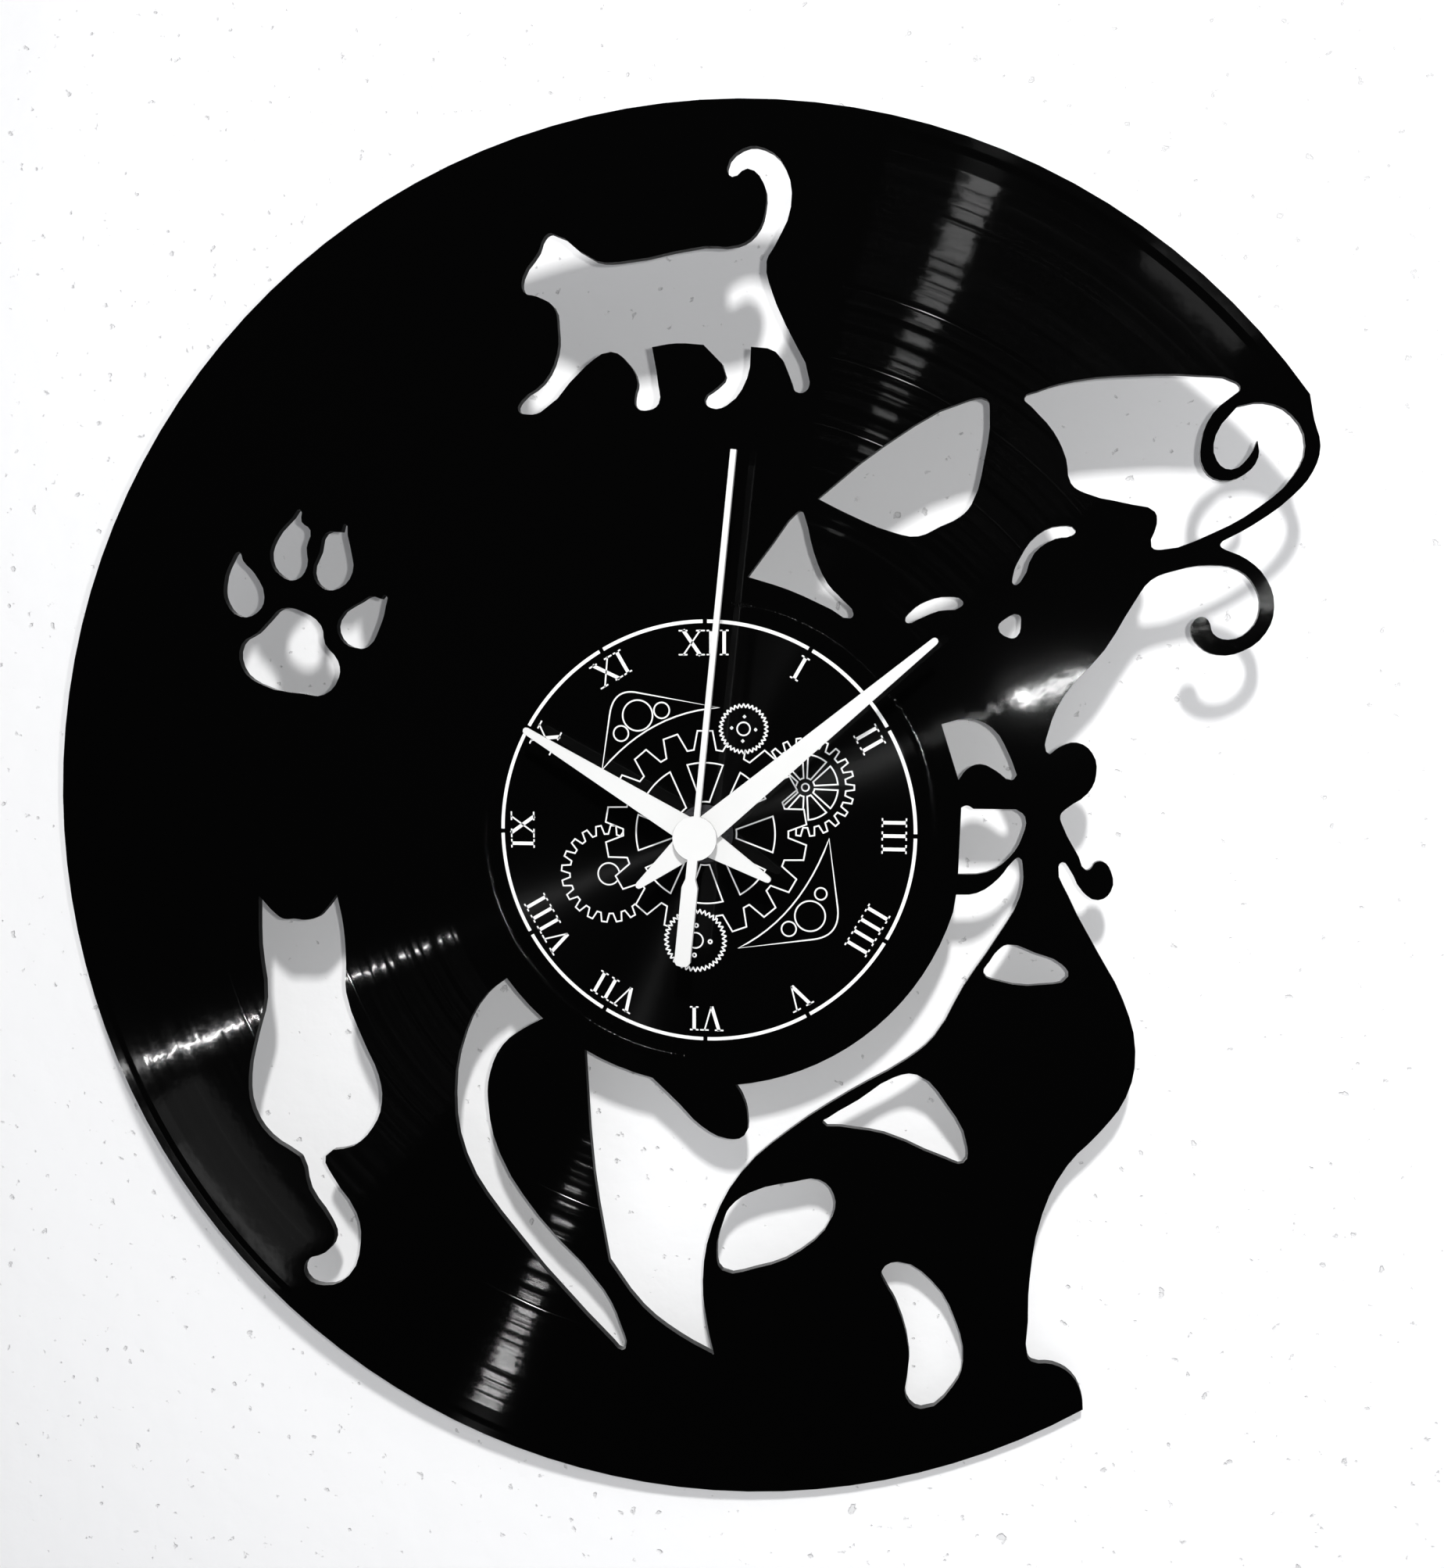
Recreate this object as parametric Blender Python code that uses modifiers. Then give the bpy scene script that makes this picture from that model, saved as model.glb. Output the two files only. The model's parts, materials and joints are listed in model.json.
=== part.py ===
"""A wall clock cut from a twelve-inch record, with its quartz movement.

The record is pierced and trimmed into a sitting cat, and the movement's threaded bush
clamps it between a hanger plate behind and a washer and nut in front.

Every piece is modelled lying on its back: X to the right, Y towards twelve o'clock and
Z towards the reader, in millimetres, starting at the back of the movement on the hand
axis. The empty clock_frame stands the whole assembly up, with the dial facing -Y.
"""

import math

import bmesh
import bpy

MM = 0.001

# ---------------------------------------------------------------- driving dimensions, mm
RECORD_RADIUS = 150.8
RECORD_THICKNESS = 2.0
DIAL_EDGE_RADIUS = 56.0  # the cut-outs stop at this circle round the dial
CASE_SIDE = 56.0
CASE_DEPTH = 16.0
BUSH_RADIUS = 4.0  # M8 bush through the record
STACK_GAP = 0.3  # between flat pieces that lie on each other
FIT_GAP = 0.05  # round a press fit
RUNNING_PLAY = 0.1  # round a tube that turns inside another
BUSH_PLAY = 0.3  # round the bush in the pieces that it clamps

HANGER_HALF_WIDTH = 11.0
HANGER_BOTTOM = -12.0
HANGER_TOP = 52.0
KEYHOLE_CENTRE = (0.0, 42.0)
KEYHOLE_RADIUS = 3.2
SLOT_CENTRE = (0.0, 47.0)
SLOT_RADIUS = 1.5
GASKET_RADIUS = 10.0
WASHER_RADIUS = 6.3
NUT_CORNER_RADIUS = 5.8
BUSH_NECK = 3.25  # radius of the bush inside the case's front wall

# Angles of the hands, clockwise from twelve o'clock, in degrees
HOUR_ANGLE = 300.7
MINUTE_ANGLE = 50.4
SECOND_ANGLE = 5.9

# ---------------------------------------------------------------- levels above the back, mm
COVER_FRONT = 1.4
WALL = 1.2
FRONT_WALL_BACK = CASE_DEPTH - 1.0
HANGER_BACK = CASE_DEPTH + STACK_GAP
HANGER_FRONT = HANGER_BACK + 0.8
GASKET_BACK = HANGER_FRONT + STACK_GAP
GASKET_FRONT = GASKET_BACK + 1.0
RECORD_BACK = GASKET_FRONT + STACK_GAP
RECORD_FRONT = RECORD_BACK + RECORD_THICKNESS
WASHER_BACK = RECORD_FRONT + STACK_GAP
WASHER_FRONT = WASHER_BACK + 0.8
NUT_BACK = WASHER_FRONT + STACK_GAP
NUT_FRONT = NUT_BACK + 2.4
BUSH_FRONT = NUT_FRONT + 0.6
HOUR_HAND_BACK = RECORD_FRONT + 8.2
HOUR_TUBE_FRONT = HOUR_HAND_BACK + 0.7
MINUTE_HAND_BACK = HOUR_HAND_BACK + 2.0
MINUTE_TUBE_FRONT = MINUTE_HAND_BACK + 0.7
SECOND_HAND_BACK = MINUTE_HAND_BACK + 1.8
SECOND_HAND_FRONT = SECOND_HAND_BACK + 1.3
HAND_SHEET = 0.5
COLLET_HEIGHT = 1.05

# ---------------------------------------------------------------- hands
BLADE_HUB = 4.2
BLADE_TIP = 0.75  # half the width of a blade at its end
SECOND_LENGTH = 79.5
SECOND_TAIL = 27.4
SECOND_HUB = 4.7
SECOND_NEEDLE = 0.6  # half widths
SECOND_NECK = 1.05
SECOND_BAR = 1.7

# ---------------------------------------------------------------- wheel train
ADDENDUM = 0.75  # tooth height outside the pitch circle, in modules
DEDENDUM = 1.05
TOOTH_ROOT = 0.52  # tooth width at its root and at its tip, in pitches
TOOTH_TIP = 0.14

ROTOR_TEETH, INTERMEDIATE_TEETH, ROTOR_MODULE = 6, 36, 0.30
INTERMEDIATE_LEAVES, SECOND_TEETH, SECOND_MODULE = 6, 30, 0.40
SECOND_LEAVES, THIRD_TEETH, THIRD_MODULE = 6, 45, 0.36
THIRD_LEAVES, DRIVE_TEETH, DRIVE_MODULE = 6, 48, 0.34
CANNON_TEETH, MOTION_TEETH, KNOB_TEETH = 10, 30, 10
MOTION_LEAVES, HOUR_TEETH, MOTION_MODULE = 8, 32, 0.45

CENTRE = (0.0, 0.0)


def polar(centre, radius, degrees):
    """The point at this radius and counter-clockwise angle from +X round a centre."""
    angle = math.radians(degrees)
    return (centre[0] + radius * math.cos(angle), centre[1] + radius * math.sin(angle))


def axis_distance(teeth_a, teeth_b, module):
    return (teeth_a + teeth_b) * module / 2


# Directions from the axis before, counter-clockwise from +X
INTERMEDIATE_ANGLE, ROTOR_ANGLE, THIRD_ANGLE, MOTION_ANGLE, KNOB_ANGLE = 75, 60, 0, 180, 120
INTERMEDIATE_AXIS = polar(
    CENTRE, axis_distance(INTERMEDIATE_LEAVES, SECOND_TEETH, SECOND_MODULE), INTERMEDIATE_ANGLE
)
ROTOR_AXIS = polar(
    INTERMEDIATE_AXIS, axis_distance(ROTOR_TEETH, INTERMEDIATE_TEETH, ROTOR_MODULE), ROTOR_ANGLE
)
THIRD_AXIS = polar(CENTRE, axis_distance(SECOND_LEAVES, THIRD_TEETH, THIRD_MODULE), THIRD_ANGLE)
MOTION_AXIS = polar(
    CENTRE, axis_distance(CANNON_TEETH, MOTION_TEETH, MOTION_MODULE), MOTION_ANGLE
)
KNOB_AXIS = polar(
    MOTION_AXIS, axis_distance(KNOB_TEETH, MOTION_TEETH, MOTION_MODULE), KNOB_ANGLE
)

# Back and front of each wheel, mm above the back of the movement
SECOND_WHEEL = (3.0, 3.8)
SECOND_PINION = (3.8, 5.6)
INTERMEDIATE_PINION = (2.6, 4.2)
INTERMEDIATE_WHEEL = (6.0, 6.6)
ROTOR_MAGNET = (2.2, 4.0)
ROTOR_PINION = (5.6, 6.8)
STATOR = (2.6, 3.6)
THIRD_WHEEL = (4.4, 5.2)
THIRD_PINION = (7.9, 9.5)
MIDDLE_PLATE = (7.0, 7.6)
DRIVE_WHEEL = (8.3, 9.1)
CLUTCH_SPRING = (9.3, 9.8)
CANNON_PINION = (10.1, 11.7)
MOTION_WHEEL = (10.4, 11.2)
MOTION_PINION = (10.6, 13.4)
HOUR_WHEEL = (12.2, 13.0)
KNOB_PINION = (10.1, 11.5)

SECOND_ARBOR_RADIUS = 0.45
PIVOT_RADIUS = 0.4
PIVOT_PLAY = 0.1
PIVOT_HOLE = PIVOT_RADIUS + PIVOT_PLAY
PIVOT_HOLE_BACK = COVER_FRONT - 0.4
PIVOT_FRONT = MIDDLE_PLATE[1] - 0.1
BOSS_RADIUS = 1.3
BOSS_HEIGHT = 0.6
ROTOR_SPINDLE = 0.55
HUB_RADIUS = 0.65
MINUTE_TUBE_OUTER = 1.6
MINUTE_TUBE_NECK = 1.2  # where the wheels sit on it
HOUR_TUBE_OUTER = 2.5
MOTION_PIN_RADIUS = 0.6
KNOB_RADIUS = 5.4
KNOB_RIDGES = 16
KNOB_CUP_RADIUS = 6.2
KNOB_CUP_DEPTH = 3.0
SHAFT_HOLE = 1.4

# ---------------------------------------------------------------- battery bay, board and coil
PARTITION_TOP = -9.2
CELL_RADIUS = 7.0
CELL_LENGTH = 50.0
CELL_BUTTON = (2.7, 1.2)  # radius and height
CELL_HEIGHT = 7.7  # of the cell's axis above the back
CELL_Y = (PARTITION_TOP - CASE_SIDE / 2) / 2
CONTACT_SHEET = 0.4
BOARD = (3.0, 4.0)
CRYSTAL_RADIUS = 1.0
STATOR_HOLE = 3.0
COIL_RADIUS = 2.3
COIL_Y = 21.2
COIL_HEIGHT = 4.2

# ---------------------------------------------------------------- outlines of the record
CORNER = "corner"


def arc(radius, start, end, step=3.0, centre=CENTRE):
    """Points along a circle, from one angle to another, counter-clockwise from +X."""
    count = max(1, round(abs(end - start) / step))
    angles = [start + (end - start) * k / count for k in range(count + 1)]
    return [(*polar(centre, radius, angle), CORNER) for angle in angles]


def angle_of(x, y):
    return math.degrees(math.atan2(y, x))


def dial_arc(start, end):
    """The stretch of the dial's edge circle between two directions, given as points."""
    return arc(DIAL_EDGE_RADIUS, angle_of(*start), angle_of(*end), 4.0)


# The cat's back, bow and muzzle, from the whisker at the rim down to its foot, then the rim.
WHISKER_AT_RIM = (121.8, 89.0)
FOOT_AT_RIM = (83.8, -125.4)
SILHOUETTE = [
    (122.8, 84), (124.2, 79), (123, 74), (119.5, 69.5), (112, 63.8), (106.2, 60.7, CORNER),
    (105.7, 59.8), (106.8, 58.9, CORNER), (111, 57), (115, 53), (116.7, 47.5), (115.3, 42.3),
    (111, 38.7), (106, 37.9), (102.3, 39.7), (100.5, 43), (101.3, 45), (102.7, 45.6),
    (104, 44.8), (105, 42.2), (108, 41), (112, 42.8), (113.9, 47), (112.8, 51.5), (109.5, 54.8),
    (104, 55.9), (97, 54.9), (92.3, 53), (89.5, 49.2), (83.5, 39), (75.5, 29.5), (72.5, 22),
    (72.2, 18.2), (73, 17.6, CORNER), (75, 19.1), (78.5, 20), (81.7, 17.8), (82.6, 13.5),
    (81, 9.5), (76.5, 6.1), (75.5, 4.8), (76, 2.7), (79.5, -3.8), (81, -6.6), (82, -6.3),
    (82.9, -5), (84.5, -4.8), (86.2, -6.8), (86.3, -11), (83.7, -12.9), (80.5, -11.2),
    (77.5, -6.2), (76.2, -5), (75.4, -6), (77.5, -12), (84, -24), (89.5, -34), (92.4, -45),
    (90.8, -55), (85.5, -63), (79, -70.5), (74, -81.5), (71.6, -97), (71.5, -106), (71.6, -114),
    (72.5, -115.1), (77, -115.4), (81, -117.5), (83.4, -122),
]

WHISKER_OPENING = [
    (66, 89.8), (68.5, 91), (76, 92.9), (88, 93.6), (100, 93.2), (107.5, 91.7), (108.4, 90.4),
    (107.2, 89.2, CORNER), (103.3, 85.8), (101.2, 80), (102, 74.8), (105.3, 72.6), (110, 73.8),
    (112.4, 77), (112.1, 80.3, CORNER), (110.6, 77.2), (107.3, 74.7), (104.4, 76.5), (104, 81.5),
    (108, 87, CORNER), (113, 87.6), (118.5, 85), (121.3, 79), (119.3, 73.3), (113, 67.3),
    (104, 62.2), (94, 59.1), (92.2, 59.7), (93.1, 64.2), (92.6, 66.7), (88, 68.2), (78.5, 70.7),
    (75.8, 72.6), (74.7, 77.5), (72, 83), (67.5, 88),
]

LARGE_EAR = [
    (24, 70.5, CORNER), (38, 81.2), (55, 89.7), (58.5, 89.6), (59.1, 87.5), (58.2, 77.5),
    (55.8, 68.8), (53.5, 66.3), (49.5, 64.4), (45, 62.5), (40, 63.3), (30.5, 67.2),
]

SMALL_EAR = [
    (9.2, 54.6, CORNER), (14.5, 61.5), (19.5, 67.7), (20.6, 68), (21.3, 66.8), (23.2, 59.6),
    (26.2, 53), (29.7, 49.3), (31.7, 46.7), (31, 45.8), (27, 47.7), (18, 51.8),
]

RIGHT_EYE = [
    (64.8, 52.4), (66.2, 53.1), (68.8, 58.8), (73, 61.6), (76.3, 62.2), (77, 63.2), (74, 64.2),
    (69.3, 62.4), (66, 58), (64.6, 54.3),
]

LEFT_EYE = [
    (42.5, 45.3), (43.5, 47), (47, 49.3), (51.5, 50.1), (54.3, 49.3), (54.3, 48.2), (49.5, 47.2),
    (45, 45.4), (43.3, 44.7),
]

NOSE = [(61.8, 43.7), (63.2, 45.5), (66, 46.3), (66.4, 44.7), (65.6, 41.8), (64, 41.6)]

UPPER_NECK_STRIPE = [
    (50.4, 23.7, CORNER), (56, 24.9), (61, 23), (64.5, 17.7), (66.3, 13.2, CORNER), (65.3, 12.1),
    (62, 14), (58.7, 15.4), (56, 14.4), (54.2, 12.0, CORNER),
]

LOWER_NECK_STRIPE = [
    (54.9, 6.2, CORNER), (56, 6.7), (57.5, 6, CORNER), (66.3, 6, CORNER), (68.2, 4.5), (67.8, 0.5),
    (65, -4.3), (60.5, -7.4), (54.5, -8, CORNER),
]

CHEST_OPENING = [
    (54.2, -12.3, CORNER), (58.5, -11.9), (63, -8.7), (66, -4.9), (67.2, -4.2), (68, -6.3),
    (67.5, -12.5), (63.1, -21), (56.1, -32), (50, -43.2), (44.3, -48.4), (32, -56),
    (18.5, -65.5), (8, -75.5), (1.5, -88), (-0.7, -101), (0.3, -111), (1.9, -118.3, CORNER),
    (-6, -114.3), (-14.5, -108), (-22.3, -97.7, CORNER), (-25.6, -77),
]

PAW_OVER_CHEST = [
    (-6, -60.3), (-1, -65.2), (5, -67.9), (8.7, -67), (9.4, -62.5), (8.2, -58),
]

TAIL_OPENING = [
    (-41.5, -44.5), (-46.3, -48.3), (-49.5, -55), (-50.1, -61.5), (-47.5, -73.7), (-38.5, -88),
    (-23.5, -104.5), (-19.5, -113), (-18.6, -118), (-19.6, -118.6), (-21.5, -117),
    (-47.8, -87.8), (-55.8, -74.5), (-57.9, -60), (-55, -45.5), (-50, -37),
]

SITTING_CAT = [
    (-103.5, -15.6, CORNER), (-99, -20.2), (-97.5, -20.9), (-95, -20.8), (-92.5, -21),
    (-89.5, -20.3), (-88, -19), (-84.7, -15, CORNER), (-83.4, -22), (-83, -31), (-83.2, -37.5),
    (-79, -49.5), (-76, -56.5), (-75.4, -63), (-77.8, -69), (-82.5, -73.5), (-89.4, -76.2),
    (-87.8, -81), (-82.3, -89.5), (-81.5, -96.5), (-84.7, -104.8), (-91, -107.5),
    (-95.3, -105.5), (-95, -101.8), (-90.3, -99.5), (-87.8, -95.8), (-89, -91.7), (-93.7, -84.5),
    (-95.6, -77), (-96.8, -76), (-103, -72), (-106.9, -66), (-107.6, -58), (-105.5, -48.5),
    (-103, -39.5), (-103.8, -27),
]

WALKING_CAT = [
    (-32.7, 126), (-34.2, 125.2), (-35.5, 122.3), (-39, 117.3), (-38.8, 114.3), (-36, 113.3),
    (-32.3, 111), (-31.5, 107), (-31.7, 101.5), (-34.8, 95.6), (-39.7, 92), (-40.4, 90),
    (-38.5, 89.2), (-35.5, 89.6), (-25.5, 98.8), (-20, 101.5), (-16.5, 99.3), (-14.3, 95),
    (-14.9, 92.3), (-14.6, 90), (-11.8, 89.4), (-9.8, 90.7), (-9.9, 94.5), (-11.2, 102.2, CORNER),
    (-6, 102.8), (-0.2, 102.3, CORNER), (4.5, 95.8), (2.7, 93.6), (0, 91.2), (1.3, 89.5),
    (4.7, 89.9), (9, 95.3), (9.8, 101.6, CORNER), (15, 100.4), (18.3, 94.3), (19.2, 92.3),
    (21.3, 92.3), (22.1, 94.2), (17, 105.8), (14.3, 112), (13, 118.5), (14.7, 121.5), (18, 129),
    (16.8, 136.7), (12.5, 140.7), (8, 140.8), (4.8, 137.2), (5.8, 135.4), (9, 136.9),
    (12.3, 134), (12.7, 128.5), (10.7, 124), (7, 121.9), (0, 122), (-18, 119.6), (-23, 120),
]

TOES = (
    [
        (-105.2, 61.3), (-106.8, 59.6), (-109, 54), (-108.5, 50), (-105.3, 47.1), (-101.3, 48),
        (-99.5, 51.3), (-101.7, 56.6), (-104.2, 59.3), (-104.7, 60.9),
    ],
    [
        (-90.4, 70.2), (-92.3, 68.5), (-96.6, 63.9), (-97.8, 59.5), (-95.5, 56), (-92, 55),
        (-89.2, 58), (-89.2, 62), (-88.2, 65.7), (-90.2, 67.6),
    ],
    [
        (-80.1, 67), (-81, 65.3, CORNER), (-84.7, 65), (-86.2, 61), (-87.9, 56.5), (-85.8, 53.2),
        (-81.9, 53.1), (-78.7, 56.6), (-78.9, 61), (-79.6, 64.5),
    ],
    [
        (-71.2, 51.6), (-72.3, 50.7, CORNER), (-74.5, 51.3), (-76.7, 50.3), (-82.3, 46.2),
        (-82, 42.2), (-78.3, 40), (-75.5, 40.4), (-72.8, 44.5), (-71.3, 49),
    ],
)

PAD = [
    (-95.5, 48.8), (-90.5, 48), (-86.4, 45), (-85.6, 41), (-82.7, 37.2), (-82.6, 33.7),
    (-86.3, 29.8), (-91, 30), (-101.5, 32.3), (-105.5, 36), (-105.3, 41), (-101.5, 43.5),
    (-98.5, 46.3),
]

BODY_SPOTS = (
    [
        (60.3, -29.2), (61.6, -26.4), (63.2, -24.1), (65.2, -22.8), (71, -24.4), (76.7, -26.8),
        (78, -29.3), (73, -31.2), (63, -30.6),
    ],
    [
        (26.1, -63.3), (27.4, -62.1), (34, -57.8), (41.5, -52.6), (46.5, -51.8), (53, -58), (57.6, -67.3),
        (56.8, -71), (53, -70.3), (39.5, -65.2), (30, -64),
    ],
    [
        (25.5, -76.3), (28.7, -79.5), (28.5, -84.3), (21.5, -92.7), (11, -97.5), (3.7, -98.3),
        (2.5, -94.5), (3.9, -87), (5.4, -83.7), (10, -80), (20, -77),
    ],
    [
        (43, -94.1), (50.5, -98), (55.7, -106.5), (57.6, -116), (55.5, -122), (48.5, -127.8),
        (45.2, -125.3), (45.4, -120.5), (45.7, -114.5), (42.6, -103.3), (40.3, -99.3), (39.4, -96.5),
    ],
)

CURVE_STEPS = 3  # straight pieces in each rounded stretch of the record's cuts
CHEST_AT_DIAL = (-27.5, -49)  # corners where the chest opening meets the dial's edge
PAW_LEFT_AT_DIAL = (-12, -54.7)
PAW_RIGHT_AT_DIAL = (6.7, -55.6)
TAIL_AT_DIAL = ((-45.7, -33.5), (-37.2, -42.3))


def record_cuts():
    """The record's edge, followed by every opening cut through it."""
    rim = arc(RECORD_RADIUS, angle_of(*FOOT_AT_RIM), angle_of(*WHISKER_AT_RIM) - 360)
    chest = CHEST_OPENING + dial_arc(CHEST_AT_DIAL, PAW_LEFT_AT_DIAL) + PAW_OVER_CHEST
    chest += dial_arc(PAW_RIGHT_AT_DIAL, CHEST_OPENING[0][:2])[:-1]
    tail = dial_arc(*TAIL_AT_DIAL) + TAIL_OPENING
    return [
        SILHOUETTE + rim, WHISKER_OPENING, LARGE_EAR, SMALL_EAR, RIGHT_EYE, LEFT_EYE, NOSE,
        UPPER_NECK_STRIPE, LOWER_NECK_STRIPE, chest, tail, SITTING_CAT, WALKING_CAT, PAD,
        *TOES, *BODY_SPOTS,
    ]


# ---------------------------------------------------------------- materials
def material(name, colour, roughness, metallic=0.0):
    made = bpy.data.materials.new(name)
    made.use_nodes = True
    shader = made.node_tree.nodes["Principled BSDF"]
    shader.inputs["Base Color"].default_value = (*colour, 1.0)
    shader.inputs["Roughness"].default_value = roughness
    shader.inputs["Metallic"].default_value = metallic
    return made


def make_materials():
    return {
        "vinyl": material("vinyl", (0.008, 0.008, 0.009), 0.12),
        "white_metal": material("white_metal", (0.86, 0.86, 0.86), 0.45),
        "white_plastic": material("white_plastic", (0.88, 0.88, 0.87), 0.40),
        "case_plastic": material("case_plastic", (0.03, 0.03, 0.032), 0.45),
        "wheel_plastic": material("wheel_plastic", (0.82, 0.80, 0.72), 0.40),
        "knob_plastic": material("knob_plastic", (0.05, 0.05, 0.055), 0.35),
        "steel": material("steel", (0.56, 0.56, 0.57), 0.30, 1.0),
        "brass": material("brass", (0.70, 0.52, 0.25), 0.28, 1.0),
        "dark_metal": material("dark_metal", (0.06, 0.06, 0.065), 0.25, 1.0),
        "rubber": material("rubber", (0.02, 0.02, 0.02), 0.80),
        "board": material("board", (0.05, 0.22, 0.10), 0.50),
        "epoxy": material("epoxy", (0.01, 0.01, 0.01), 0.25),
        "magnet": material("magnet", (0.12, 0.11, 0.11), 0.40, 0.6),
        "copper": material("copper", (0.60, 0.22, 0.10), 0.30, 1.0),
        "bobbin": material("bobbin", (0.62, 0.60, 0.55), 0.50),
        "cell_sleeve": material("cell_sleeve", (0.10, 0.16, 0.30), 0.35),
    }


# ---------------------------------------------------------------- modelling tools
WELD = 1e-6  # metres
SHARP_EDGE = math.radians(35)


class Bench:
    """Where the pieces are made: their collection, the empty they stand on, their materials."""

    def __init__(self):
        for old in list(bpy.data.objects):
            bpy.data.objects.remove(old)
        scene = bpy.context.scene
        self.parts = bpy.data.collections.new("cat_tail_clock")
        self.cutters = bpy.data.collections.new("cutters")
        scene.collection.children.link(self.parts)
        scene.collection.children.link(self.cutters)
        self.frame = bpy.data.objects.new("clock_frame", None)
        self.frame.rotation_euler = (math.radians(90), 0, 0)
        self.parts.objects.link(self.frame)
        self.materials = make_materials()

    def place(self, shape, finish, at=CENTRE, turn=0.0):
        """Stands a piece on the frame: at is its axis in mm, turn is clockwise in degrees."""
        shape.parent = self.frame
        shape.location = (at[0] * MM, at[1] * MM, 0)
        shape.rotation_euler = (0, 0, -math.radians(turn))
        shape.data.materials.append(self.materials[finish])
        return shape

    def new_object(self, name, data):
        made = bpy.data.objects.new(name, data)
        self.parts.objects.link(made)
        return made

    def as_mesh(self, shape, raised=0.0):
        """Turns a curve or a Screw into a mesh: welded, facing out and smooth between its edges."""
        bpy.context.view_layer.update()
        graph = bpy.context.evaluated_depsgraph_get()
        mesh = bpy.data.meshes.new_from_object(shape.evaluated_get(graph))
        name, source = shape.name, shape.data
        bpy.data.objects.remove(shape)
        bpy.data.batch_remove([source])
        mesh.name = name
        cleaned = bmesh.new()
        cleaned.from_mesh(mesh)
        bmesh.ops.remove_doubles(cleaned, verts=cleaned.verts, dist=WELD)
        bmesh.ops.translate(cleaned, verts=cleaned.verts, vec=(0, 0, raised))
        bmesh.ops.recalc_face_normals(cleaned, faces=cleaned.faces)
        cleaned.to_mesh(mesh)
        cleaned.free()
        mesh.shade_smooth()
        mesh.set_sharp_from_angle(angle=SHARP_EDGE)
        return self.new_object(name, mesh)

    def sheet(self, name, outlines, back, front):
        """A flat piece: its edge first, then the holes through it."""
        curve = bpy.data.curves.new(name, "CURVE")
        curve.dimensions = "2D"
        curve.fill_mode = "BOTH"
        curve.extrude = (front - back) / 2 * MM
        for outline in outlines:
            spline = curve.splines.new("BEZIER")
            spline.bezier_points.add(len(outline) - 1)
            spline.use_cyclic_u = True
            spline.resolution_u = CURVE_STEPS
            for knot, point in zip(spline.bezier_points, outline):
                handle = "VECTOR" if CORNER in point else "AUTO"
                knot.co = (point[0] * MM, point[1] * MM, 0)
                knot.handle_left_type = handle
                knot.handle_right_type = handle
        return self.as_mesh(self.new_object(name, curve), (front + back) / 2 * MM)

    def turned(self, name, profile, steps=32):
        """A turned piece: (radius, height) points down the outer side and up the inner one."""
        mesh = bpy.data.meshes.new(name)
        points = [(radius * MM, 0, height * MM) for radius, height in profile]
        edges = [(k, (k + 1) % len(points)) for k in range(len(points))]
        open_at_axis = profile[0][0] == 0 and profile[-1][0] == 0
        mesh.from_pydata(points, edges[:-1] if open_at_axis else edges, [])
        made = self.new_object(name, mesh)
        screw = made.modifiers.new("turn", "SCREW")
        screw.steps = steps
        screw.render_steps = steps
        screw.use_merge_vertices = True
        screw.merge_threshold = WELD
        return self.as_mesh(made)

    def ring(self, name, outer, inner, back, front, steps=32):
        """A plain washer or tube."""
        profile = [(outer, front), (outer, back), (inner, back), (inner, front)]
        return self.turned(name, profile, steps)

    def rod(self, name, radius, back, front, steps=16):
        profile = [(0, front), (radius, front), (radius, back), (0, back)]
        return self.turned(name, profile, steps)

    def combine(self, base, other, operation, at):
        """Joins other to base or cuts it away, and keeps other only as a hidden helper."""
        self.parts.objects.unlink(other)
        self.cutters.objects.link(other)
        other.parent = base
        other.location = (at[0] * MM, at[1] * MM, 0)
        other.hide_render = True
        other.display_type = "WIRE"
        step = base.modifiers.new(other.name, "BOOLEAN")
        step.operation = operation
        step.object = other

    def join(self, base, other, at=CENTRE):
        self.combine(base, other, "UNION", at)

    def cut(self, base, other, at=CENTRE):
        self.combine(base, other, "DIFFERENCE", at)


def circle(radius, count=32, centre=CENTRE):
    return [(*polar(centre, radius, 360 * k / count), CORNER) for k in range(count)]


def rounded_box(left, bottom, right, top, radius, corner_steps=4):
    """The outline of a box with rounded corners, counter-clockwise."""
    corners = (
        (right - radius, top - radius, 0),
        (left + radius, top - radius, 90),
        (left + radius, bottom + radius, 180),
        (right - radius, bottom + radius, 270),
    )
    points = []
    for x, y, start in corners:
        for k in range(corner_steps + 1):
            points.append((*polar((x, y), radius, start + 90 * k / corner_steps), CORNER))
    return points


def toothed_outline(teeth, root, tip, root_share, tip_share, first_tooth=0.0):
    """Trapezoid teeth, the first centred on first_tooth; the shares are of the tooth pitch."""
    pitch = 360 / teeth
    corners = ((root, -root_share), (tip, -tip_share), (tip, tip_share), (root, root_share))
    points = []
    for k in range(teeth):
        for radius, share in corners:
            angle = first_tooth + (k + share / 2) * pitch
            points.append((*polar(CENTRE, radius, angle), CORNER))
    return points


def gear_outline(teeth, module, first_tooth):
    pitch_radius = teeth * module / 2
    root = pitch_radius - DEDENDUM * module
    tip = pitch_radius + ADDENDUM * module
    return toothed_outline(teeth, root, tip, TOOTH_ROOT, TOOTH_TIP, first_tooth)


def meshing(first_tooth, teeth, direction, other_teeth):
    """Where the first tooth of a wheel in this direction lies, so that it meshes at rest."""
    gap_facing = direction + 180 + 180 / other_teeth
    return gap_facing - (first_tooth - direction) * teeth / other_teeth


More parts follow.
